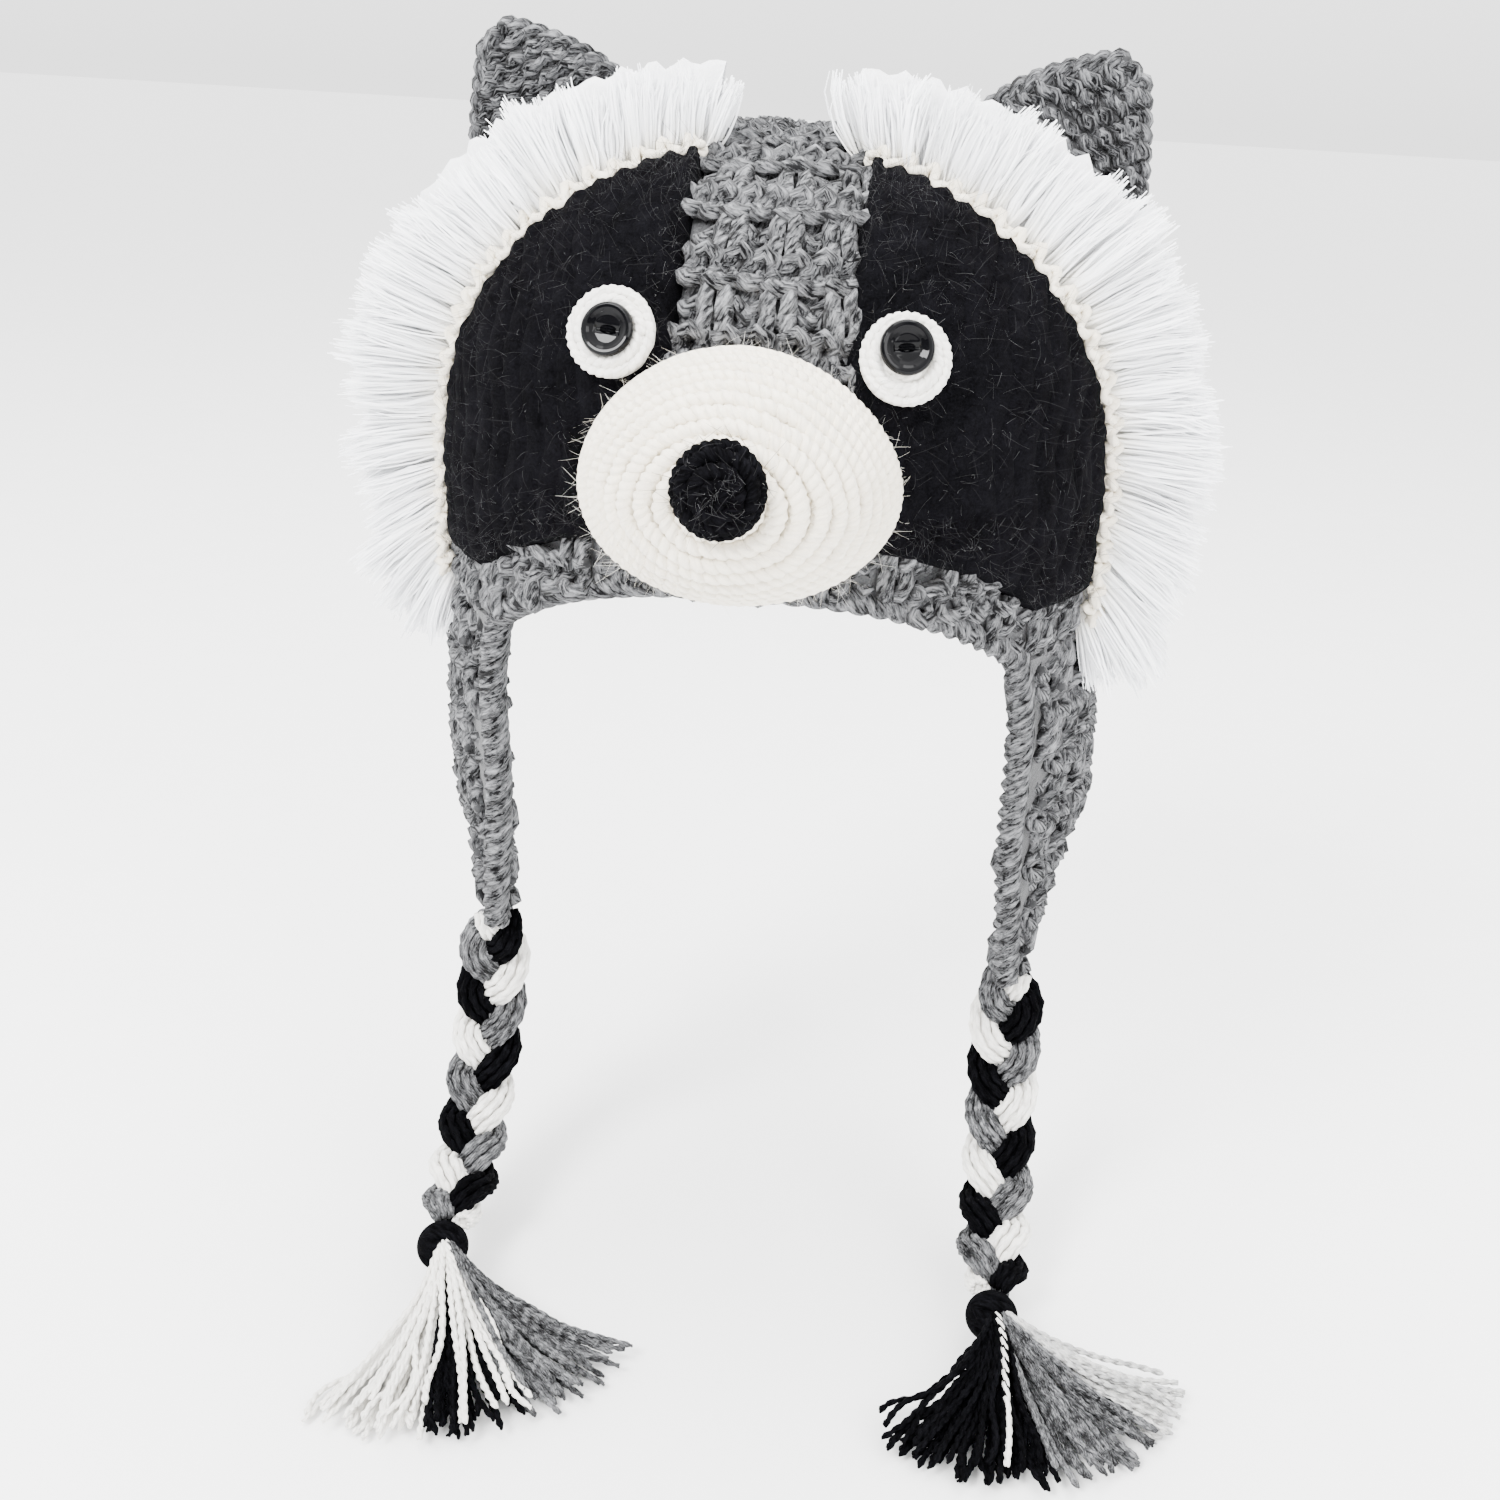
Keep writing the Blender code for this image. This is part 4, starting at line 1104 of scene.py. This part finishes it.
def muzzle_at(share, turn, out=0.0):
    """A point of the snout: share from its middle to its seat, turned this far from its top."""
    across, up = share * np.sin(turn), share * np.cos(turn)
    x = across * MUZZLE_HALF_WIDTH * (1 - MUZZLE_EGG * up)
    z = up * MUZZLE_HALF_HEIGHT
    seat = face_depth(x + MUZZLE_SHIFT, z - MUZZLE_DROP, KNIT_WALL + PATCH_GAP + PATCH_THICKNESS) + PATCH_GAP
    bulge = np.maximum(1 - share**MUZZLE_POWER, 0) ** 0.5
    depth = seat + MUZZLE_DEPTH * bulge
    return np.stack(np.broadcast_arrays(x + MUZZLE_SHIFT, -depth, z - MUZZLE_DROP), -1)


MUZZLE_SHARES = np.sin(np.linspace(0, np.pi / 2, 300))
MUZZLE_REACH = np.concatenate(
    [
        [0],
        np.cumsum(
            np.linalg.norm(np.diff(muzzle_at(MUZZLE_SHARES, np.full(300, 1.2)), axis=0), axis=1)
        ),
    ]
)


def crochet_rounds(gathered, place, reach, height, stitch, radius, rng, tint=0.5, first=0.0):
    """Rounds of crochet, each a ridge of slanting stitches.

    place(turn, distance, out) gives points at a turn and a distance from the middle.
    """
    for index in range(int((reach - first) / height)):
        middle = first + (index + 0.5) * height
        probe = place(np.linspace(0, 2 * np.pi, 60), np.full(60, middle), np.zeros(60))
        around = np.linalg.norm(np.diff(probe, axis=0), axis=1).sum()
        count = max(round(around / stitch), 5)
        turns = np.linspace(0, 1, count * 9 + 1)
        sway = np.interp(turns * count, np.arange(count + 1), rng.normal(0, 0.08, count + 1))
        for half in (0, 1):
            phase = np.pi * (turns * count * 2 + half) + rng.uniform(0, 0.3)
            distance = middle + height * (0.21 * np.cos(phase) + sway)
            out = radius * 0.55 * np.sin(phase)
            turn = 2 * np.pi * (turns + 0.013 * index)
            line = place(turn, distance, out)
            lifted = place(turn, distance, out + 0.002)
            gathered.add(line, unit(lifted - line), radius, tint=tint + rng.normal(0, 0.03), pinch=False)


class HAT_OT_crochet_muzzle(bpy.types.Operator):
    """Crochet the cream snout in rounds, with its stuffed body and stray fibres"""

    bl_idname = "hat.crochet_muzzle"
    bl_label = "Crochet snout"

    def execute(self, context):
        rng = np.random.default_rng(61)

        def place(turn, distance, out):
            share = np.interp(distance, MUZZLE_REACH, MUZZLE_SHARES)
            spot = muzzle_at(share, turn)
            middle = np.array((MUZZLE_SHIFT, -HALF_DEPTH, -MUZZLE_DROP))
            return spot + unit(spot - middle) * (out - 0.0014)[..., None]

        def body(u, v):
            share = np.sin(np.clip(v, 0, 1) * np.pi / 2)
            spot = muzzle_at(share, 2 * np.pi * u)
            middle = np.array((MUZZLE_SHIFT, -HALF_DEPTH, -MUZZLE_DROP))
            return spot - unit(spot - middle) * 0.0020

        # Painted shade: the body shows darker cream between the crochet rounds.
        mesh = grid_mesh("muzzle_body", body, 96, 48)
        add_piece("muzzle_body", mesh, [finish_named("cream_wool_back")], ["muzzle"])
        gathered = Yarns(sides=5, ply_pitch=0.004)
        height = settings().face.round_height
        crochet_rounds(gathered, place, MUZZLE_REACH[-1], height, 0.0047, 0.00165, rng, first=0.005)
        add_piece("muzzle_crochet", gathered.mesh("muzzle_crochet"), [finish_named("cream_crochet")])
        turn, distance = rng.uniform(0, 2 * np.pi, 1500), rng.uniform(0.010, MUZZLE_REACH[-1], 1500)
        roots = place(turn, distance, np.full(1500, 0.001))
        outward = unit(roots - np.array((MUZZLE_SHIFT, -HALF_DEPTH, -MUZZLE_DROP)))
        fuzz = stray_hairs(roots, outward, rng, 0.0034, 0.00006)
        add_piece("muzzle_fuzz", fuzz.mesh("muzzle_fuzz"), [finish_named("cream_fuzz")])
        return {"FINISHED"}


class HAT_OT_crochet_nose(bpy.types.Operator):
    """Crochet the black nose"""

    bl_idname = "hat.crochet_nose"
    bl_label = "Crochet nose"

    def execute(self, context):
        rng = np.random.default_rng(71)
        middle_z = NOSE_RAISE - MUZZLE_DROP

        def place(turn, distance, out):
            share = np.clip(np.interp(distance, (0, 0.004, 0.008, 0.0125, 0.016), (0, 0.42, 0.80, 1.0, 1.02)), 0, 1.02)
            x = share * np.sin(turn) * NOSE_RADIUS
            z = share * np.cos(turn) * NOSE_RADIUS + NOSE_RAISE
            up = z / MUZZLE_HALF_HEIGHT
            reach = np.hypot(x / (MUZZLE_HALF_WIDTH * (1 - MUZZLE_EGG * up)), up)
            seat = face_depth(x + MUZZLE_SHIFT, z - MUZZLE_DROP, KNIT_WALL + PATCH_GAP + PATCH_THICKNESS)
            seat = seat + 2 * PATCH_GAP + MUZZLE_DEPTH * np.maximum(1 - reach**MUZZLE_POWER, 0) ** 0.5
            fall = np.interp(distance, (0, 0.004, 0.008, 0.0125, 0.016), (1, 0.95, 0.72, 0.25, 0.0))
            spot = np.stack([x + MUZZLE_SHIFT, -(seat + NOSE_DEPTH * fall), z - MUZZLE_DROP], -1)
            heart = np.array((MUZZLE_SHIFT, -0.142, middle_z))
            return spot + unit(spot - heart) * (out - 0.0006)[..., None]

        def body(u, v):
            return place(2 * np.pi * u, 0.016 * v, np.full(u.shape, -0.0002))

        add_piece(
            "nose_body", grid_mesh("nose_body", body, 40, 16), [finish_named("black_felted_wool")], ["nose"]
        )
        gathered = Yarns(sides=6, ply_pitch=0.004)
        crochet_rounds(gathered, place, 0.0150, 0.0032, 0.0038, 0.00150, rng)
        add_piece("nose_crochet", gathered.mesh("nose_crochet"), [finish_named("black_yarn_fuzzy")])
        turn, distance = rng.uniform(0, 2 * np.pi, 260), rng.uniform(0, 0.014, 260)
        roots = place(turn, distance, np.full(260, 0.0016))
        outward = unit(roots - np.array((MUZZLE_SHIFT, -0.140, middle_z)))
        fuzz = stray_hairs(roots, outward, rng, 0.0030, 0.00013)
        add_piece("nose_fuzz", fuzz.mesh("nose_fuzz"), [finish_named("black_fuzz")])
        return {"FINISHED"}


def eye_matrix(side_name):
    """The turn and place of an eye, from its disc's node: Z points out of the patch."""
    disc = np.array(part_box(f"eye_disc_{side_name}"))
    centre = disc.mean(axis=0)
    _, x, drop, _ = next(row for row in EYES if row[0] == side_name)
    side = SIDES[side_name]
    step = 0.001
    out = KNIT_WALL + PATCH_GAP + PATCH_THICKNESS

    def surface(px, pz):
        return Vector((px, -float(face_depth(abs(px), pz, out)), pz))

    here = surface(side * x, -drop)
    across = surface(side * x + step, -drop) - here
    up = surface(side * x, -drop + step) - here
    normal = across.cross(up).normalized()
    if normal.y > 0:
        normal.negate()
    right = Vector((0, 0, 1)).cross(normal).normalized()
    above = normal.cross(right)
    turn = Matrix((right, above, normal)).transposed()
    facing = Matrix.Rotation(-side * math.radians(EYE_TURN), 4, "Y")
    return Matrix.Translation(Vector(centre) + normal * EYE_LIFT) @ turn.to_4x4() @ facing


class HAT_OT_eyes(bpy.types.Operator):
    """Crochet the white eye discs and sew on the glossy buttons"""

    bl_idname = "hat.eyes"
    bl_label = "Eyes"

    def execute(self, context):
        rng = np.random.default_rng(81)
        for side_name, _, _, raised in EYES:
            matrix = np.array(eye_matrix(side_name))
            half = 0.00175

            def to_world(points):
                return points @ matrix[:3, :3].T + matrix[:3, 3]

            def place(turn, distance, out):
                radius = np.minimum(distance, 0.0091)
                fall = np.maximum(distance - 0.0079, 0)
                height = half - 0.0003 - fall**2 * 110 + out
                radius = radius + out * np.clip(fall * 500, 0, 1)
                return to_world(np.stack([radius * np.cos(turn), radius * np.sin(turn), height], -1))

            gathered = Yarns(sides=6, ply_pitch=0.0035)
            crochet_rounds(gathered, place, 0.0125, 0.0033, 0.0038, 0.00115, rng, first=0.0022)
            name = f"eye_disc_crochet_{side_name}"
            add_piece(name, gathered.mesh(name), [finish_named("white_yarn_plied")])

            def body(u, v):
                radius, height = np.array([(0, 1.4), (8.6, 1.3), (10.0, 0.4), (10.3, -0.8), (10.0, -3.6)]).T / 1000
                at = v * 4
                ring = np.interp(at, np.arange(5), radius)
                tall = np.interp(at, np.arange(5), height)
                return to_world(np.stack([ring * np.cos(2 * np.pi * u), ring * np.sin(2 * np.pi * u), tall], -1))

            name = f"eye_disc_body_{side_name}"
            mesh = grid_mesh(name, body, 48, 16, wrap=True)
            node = [f"eye_disc_{side_name}"]
            add_piece(name, mesh, [finish_named("white_yarn_plied")], node)
            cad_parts[f"eye_button_{side_name}"].data.materials[0] = finish_named("black_button")
            rise = half + SEAT_GAP

            def button(u, v):
                radius, height = np.array(
                    [(0, 1.75), (1.6, 1.72), (3.2, 1.85), (4.1, 2.25), (4.9, 2.72), (5.6, 2.80), (6.1, 2.45),
                     (6.35, 1.8), (6.30, 1.2), (5.9, 0.55), (5.0, 0.15), (0, 0.0)]
                ).T / 1000
                at = v * (len(radius) - 1)
                ring = np.interp(at, np.arange(len(radius)), radius)
                tall = np.interp(at, np.arange(len(radius)), height)
                turn = 2 * np.pi * u
                x, y = ring * np.cos(turn), ring * np.sin(turn)
                groove = np.exp(-((y / 0.00075) ** 2)) * (np.abs(x) < 0.0031) * (v < 0.3)
                tall = tall - 0.0007 * groove + rise
                return to_world(np.stack([x, y + raised, tall], -1))

            name = f"button_{side_name}"
            mesh = grid_mesh(name, button, 72, 66, wrap=True)
            add_piece(name, mesh, [finish_named("black_button")], [f"eye_button_{side_name}"])
            thread = Yarns(sides=5, ply_pitch=0.002)
            for shift in (-0.0003, 0.0003):
                x = np.linspace(-0.0019, 0.0019, 14)
                arch = np.sin(np.linspace(0, np.pi, 14))
                local = np.stack([x, raised + shift + 0 * x, rise + 0.0009 + 0.0012 * arch], -1)
                thread.add(to_world(local), matrix[:3, 2], 0.00033)
            name = f"button_thread_{side_name}"
            add_piece(name, thread.mesh(name), [finish_named("black_yarn_fuzzy")])
        return {"FINISHED"}


def tie_line(side_name):
    """The middle of a braid, from just below its flap's tip to its knot."""
    given = np.array(TIE_ROUTE) + flap_tip(side_name) - (0, 0, SEAT_GAP)
    ends = np.vstack([2 * given[0] - given[1], given, 2 * given[-1] - given[-2]])
    fine = []
    for index in range(1, len(given)):
        before, start, end, after = ends[index - 1 : index + 3]
        share = np.linspace(0, 1, 24, endpoint=index == len(given) - 1)[:, None]
        bend = 2 * before - 5 * start + 4 * end - after
        twist = -before + 3 * start - 3 * end + after
        fine.append(0.5 * (2 * start + (end - before) * share + bend * share**2 + twist * share**3))
    return evenly(np.concatenate(fine), 0.0008)


def knot_centre(side_name):
    line = tie_line(side_name)
    ahead = unit(line[-1] - line[-8])
    return line[-1] + ahead * (SEAT_GAP + KNOT_RADIUS)


BRAID_ORDER = {"left": (2, 1, 0), "right": (0, 1, 2)}


class HAT_OT_braid_ties(bpy.types.Operator):
    """Braid the ties from three thick strands, and close them with a wound knot and a tassel"""

    bl_idname = "hat.braid_ties"
    bl_label = "Braid ties"

    def execute(self, context):
        ties = settings().ties
        yarns = [finish_named(name) for name in ("black_yarn_fuzzy", "white_yarn_plied", "grey_yarn_melange")]
        for side_name, side in SIDES.items():
            rng = np.random.default_rng(91 + side)
            line = tie_line(side_name)
            reach = np.arange(len(line)) * 0.0008
            total = reach[-1]
            ahead = unit(np.gradient(line, axis=0))
            across = unit(np.array((1.0, 0, 0)) - ahead * ahead[:, :1])
            front = np.cross(across, ahead)
            braid = Yarns(sides=5, ply_pitch=0.006)
            close = ease(np.minimum(reach, total - reach) / 0.012)
            gather = 0.62 + 0.38 * close
            for order in range(3):
                phase = 2 * np.pi * (reach / ties.pitch + order / 3)
                centre = line + across * (ties.swing * np.sin(phase) * gather)[:, None]
                centre = centre + front * (0.0038 * np.sin(2 * phase) * gather)[:, None]
                along = unit(np.gradient(centre, axis=0))
                wide = unit(np.cross(along, front))
                deep = np.cross(wide, along)
                slot = BRAID_ORDER[side_name][order]
                for yarn in range(9):
                    outer = yarn < 8
                    spin = 2 * np.pi * (yarn / 8 + reach * 7)
                    offset = wide * (0.0039 * outer * np.cos(spin) * gather)[:, None]
                    offset = offset + deep * (0.0026 * outer * np.sin(spin) * gather)[:, None]
                    tint = 0.5 + rng.normal(0, 0.06)
                    if outer:
                        strand = (centre + offset)[::2]
                        twist_strands(braid, strand, 2, 0.00050, 0.0110, 0.00100, front[::2], tint, slot, yarn)
                    else:
                        braid.add(centre[::3], deep[::3], 0.0024, slot=slot, tint=tint)
            name = f"braid_{side_name}"
            nodes = [f"braid_{side_name}_{colour}" for colour in ("black", "white", "grey")]
            piece = add_piece(name, braid.mesh(name), yarns, nodes)
            if side < 0:
                mirror(piece)
            knot = wind_knot(side_name)
            tassel = spread_tassel(side_name)
            path = (line * (side, 1, 1))[::4]
            path = np.vstack([path, (line * (side, 1, 1))[-1]])
        return {"FINISHED"}


def mirror(piece):
    """Mirrors a piece's mesh to the left side."""
    piece.data.transform(Matrix.Scale(-1, 4, (1, 0, 0)))
    piece.data.flip_normals()


def wind_knot(side_name):
    """A ball of black yarn wound round the braid's end."""
    rng = np.random.default_rng(101)
    centre = knot_centre(side_name)
    side = SIDES[side_name]
    gathered = Yarns(sides=6, ply_pitch=0.006)
    for wrap in range(14):
        tilt = rng.uniform(-0.9, 0.9)
        lean = rng.uniform(0, 2 * np.pi)
        shift = rng.uniform(-0.45, 0.45)
        turn = np.linspace(0, 2 * np.pi, 40)
        ring = np.stack([np.cos(turn), np.sin(turn) * math.cos(tilt), np.sin(turn) * math.sin(tilt)], -1)
        ring = ring @ np.array(Matrix.Rotation(lean, 3, "X"))
        reach = math.sqrt(1 - shift**2)
        axis = unit(np.cross(ring[0], ring[10]))
        spots = centre + (ring * reach + axis * shift) * (KNOT_RADIUS - 0.0024) * (1, 1, 0.92)
        gathered.add(spots * (side, 1, 1), unit(spots - centre) * (side, 1, 1), 0.0019, tint=0.5, pinch=False)
    name = f"knot_{side_name}"
    mesh = gathered.mesh(name)
    return add_piece(name, mesh, [finish_named("black_yarn_fuzzy")], [f"tie_knot_{side_name}"])


# Columns: side, direction of the fan's middle in degrees from outward, half its spread, length
TASSEL_FANS = {"left": (-114.0, 47.0, 0.070), "right": (-69.0, 60.0, 0.062)}


def tassel_colour(side_name, share, layer, rng):
    """The yarn of a strand, by its place in the fan: 0 black, 1 white, 2 grey. share runs from the fan's
    right as seen from the front on the left side, and from its left on the right side."""
    if side_name == "left":
        if share < 0.36:
            return 2
        if share < 0.66:
            return 1 if layer > 0.86 else 0
        return 1
    if share < 0.46:
        return 1 if layer > 0.97 else 0
    if share < 0.80:
        return 2
    return 3


def spread_tassel(side_name):
    """Loose strands that fan out from the knot and settle on the table."""
    middle, spread, length = TASSEL_FANS[side_name]
    rng = np.random.default_rng(111 if side_name == "left" else 112)
    centre = knot_centre(side_name)
    side = SIDES[side_name]
    gathered = Yarns(sides=4, ply_pitch=0.0042)
    count = settings().ties.strands
    floor = -FLOOR_DROP + 0.0013
    steps = 36
    share = np.linspace(0, 1, steps)
    for strand in range(count):
        place = (strand + rng.uniform(0, 1)) / count
        layer = rng.uniform(0, 1)
        if side_name == "right":
            fan = middle - spread + 2 * spread * place
            colour_share = place
        else:
            fan = middle + spread - 2 * spread * place
            colour_share = 1 - place
        start = math.radians(middle + (fan - middle) * 0.55)
        end = math.radians(middle + (fan - middle) * 1.08 + rng.normal(0, 3.0))
        heading = start + (end - start) * ease(share * 2.2)
        hold = KNOT_RADIUS * rng.uniform(0.45, 0.75)
        reach = length * rng.uniform(0.84, 0.99) - hold
        step = reach / (steps - 1)
        x = centre[0] + hold * math.cos(start) + np.concatenate([[0], np.cumsum(np.cos(heading[:-1]) * step)])
        y = centre[1] + hold * math.sin(start) + np.concatenate([[0], np.cumsum(np.sin(heading[:-1]) * step)])
        wiggle = rng.normal(0, 0.0015) * np.sin(2 * np.pi * share * rng.uniform(0.8, 1.8) + rng.uniform(0, 6))
        x = x - np.sin(end) * wiggle * share
        y = y + np.cos(end) * wiggle * share
        bed = floor + 0.0110 * layer * (1 - 0.45 * share)
        top = centre[2] - 0.001 + (layer - 0.5) * 0.012
        z = bed + (top - bed) * (1 - ease(share * 1.4)) + 0.0012 * np.sin(np.pi * share) * rng.uniform(-1, 1)
        z = np.maximum(z, floor)
        line = np.stack([x * side, y, z], -1)
        slot = tassel_colour(side_name, colour_share, layer, rng)
        tint = 0.5 + rng.normal(0, 0.1)
        twist_strands(gathered, line, 2, 0.00042, 0.0076, 0.00070, (0.0, 0.0, 1.0), tint, slot, rng.uniform(0, 6))
    name = f"tassel_yarn_{side_name}"
    finishes = [finish_named(kind) for kind in ("black_yarn_fuzzy", "white_yarn_plied", "grey_yarn_melange")]
    finishes.append(light_grey_yarn())
    return add_piece(name, gathered.mesh(name), finishes, [f"tassel_{side_name}"])


def light_grey_yarn():
    name = "light_grey_yarn"
    if name in bpy.data.materials:
        return bpy.data.materials[name]
    return yarn_material(name, (0.35, 0.35, 0.35), (0.72, 0.71, 0.68), groove=0.25)


class HAT_OT_stage(bpy.types.Operator):
    """Lay the floor, set the soft studio lights and place the camera"""

    bl_idname = "hat.stage"
    bl_label = "Stage"

    def execute(self, context):
        stage = settings().stage
        half = stage.floor_size / 2
        corners = np.array([(-half, -half, 0), (half, -half, 0), (half, half, 0), (-half, half, 0)])
        mesh = build_mesh("floor", corners - (0, 0, FLOOR_DROP), [np.array([[0, 1, 2, 3]])])
        mesh.materials.append(floor_material())
        floor = bpy.data.objects.new("floor", mesh)
        context.scene.collection.objects.link(floor)
        # Columns: name, place, power in watts, width
        for name, place, power, size in (
            ("key_light", (-0.75, -1.05, 0.95), 62.0, 0.55),
            ("fill_light", (1.05, -0.95, 0.55), 26.0, 0.9),
            ("top_light", (0.0, 0.25, 1.25), 26.0, 1.0),
            ("floor_light", (0.1, -0.9, 0.9), 22.0, 1.6),
        ):
            light = bpy.data.lights.new(name, "AREA")
            light.energy = power
            light.size = size
            lamp = bpy.data.objects.new(name, light)
            lamp.location = place
            aim = Vector((0, -0.03, -0.12)) - lamp.location
            lamp.rotation_euler = aim.to_track_quat("-Z", "Y").to_euler()
            context.scene.collection.objects.link(lamp)
        world = bpy.data.worlds.new("studio")
        world.use_nodes = True
        background = world.node_tree.nodes["Background"]
        way = add_node(world.node_tree, "ShaderNodeTexCoord")
        axes = add_node(world.node_tree, "ShaderNodeSeparateXYZ", [(0, way.outputs["Generated"])])
        behind = add_node(
            world.node_tree, "ShaderNodeMapRange",
            [("Value", axes.outputs[1]), ("From Min", -0.75), ("From Max", 0.05), ("To Min", 0.22), ("To Max", 1.0)],
        )
        above = add_node(
            world.node_tree, "ShaderNodeMapRange",
            [("Value", axes.outputs[2]), ("From Min", 0.0), ("From Max", 0.35), ("To Min", 2.4), ("To Max", 4.2)],
        )
        glow = maths(world.node_tree, "MULTIPLY", behind.outputs[0], above.outputs[0])
        background.inputs[0].default_value = (1.0, 1.0, 1.0, 1.0)
        world.node_tree.links.new(glow, background.inputs[1])
        context.scene.world = world
        place_camera(context, stage.lens)
        return {"FINISHED"}


def place_camera(context, lens):
    """The photograph's view, found from the hat's own features: azimuth, tilt down and roll in degrees."""
    azimuth, tilt, roll = math.radians(4.61), math.radians(20.68), math.radians(3.35)
    forward = Vector((-math.sin(azimuth) * math.cos(tilt), math.cos(azimuth) * math.cos(tilt), -math.sin(tilt)))
    level = Vector((math.cos(azimuth), math.sin(azimuth), 0))
    raised = level.cross(forward)
    right = level * math.cos(roll) + raised * math.sin(roll)
    up = raised * math.cos(roll) - level * math.sin(roll)
    camera = bpy.data.cameras.new("camera")
    camera.sensor_width = 36.0
    camera.lens = lens
    camera.clip_start = 0.01
    holder = bpy.data.objects.new("camera", camera)
    turn = Matrix((right, up, -forward)).transposed()
    holder.matrix_world = Matrix.Translation((0.03597, -0.50414, 0.01509)) @ turn.to_4x4()
    context.scene.collection.objects.link(holder)
    context.scene.camera = holder


class HatSettings(bpy.types.PropertyGroup):
    yarn: PointerProperty(type=HatYarn)
    fur: PointerProperty(type=HatFur)
    face: PointerProperty(type=HatFace)
    ties: PointerProperty(type=HatTies)
    stage: PointerProperty(type=HatStage)


OPERATORS = (
    HAT_OT_knit_crown,
    HAT_OT_knit_flaps,
    HAT_OT_edge_rim,
    HAT_OT_eye_patches,
    HAT_OT_fur_trims,
    HAT_OT_knit_ears,
    HAT_OT_crochet_muzzle,
    HAT_OT_crochet_nose,
    HAT_OT_eyes,
    HAT_OT_braid_ties,
    HAT_OT_stage,
)


class HAT_PT_pieces(bpy.types.Panel):
    """Lists the hat's pieces"""

    bl_idname = "HAT_PT_pieces"
    bl_label = "Raccoon Hat"
    bl_space_type = "VIEW_3D"
    bl_region_type = "UI"
    bl_category = "Hat"

    def draw(self, context):
        for operator in OPERATORS:
            self.layout.operator(operator.bl_idname)
        for group in (context.scene.hat.yarn, context.scene.hat.fur, context.scene.hat.face):
            for field in group.__annotations__:
                self.layout.prop(group, field)


CLASSES = (HatYarn, HatFur, HatFace, HatTies, HatStage, HatSettings, *OPERATORS, HAT_PT_pieces)


def register():
    for item in CLASSES:
        bpy.utils.register_class(item)
    bpy.types.Scene.hat = PointerProperty(type=HatSettings)


def unregister():
    del bpy.types.Scene.hat
    for item in reversed(CLASSES):
        bpy.utils.unregister_class(item)


def main():
    register()
    for operator in OPERATORS:
        group, name = operator.bl_idname.split(".")
        getattr(getattr(bpy.ops, group), name)()


if __name__ == "__main__":
    main()
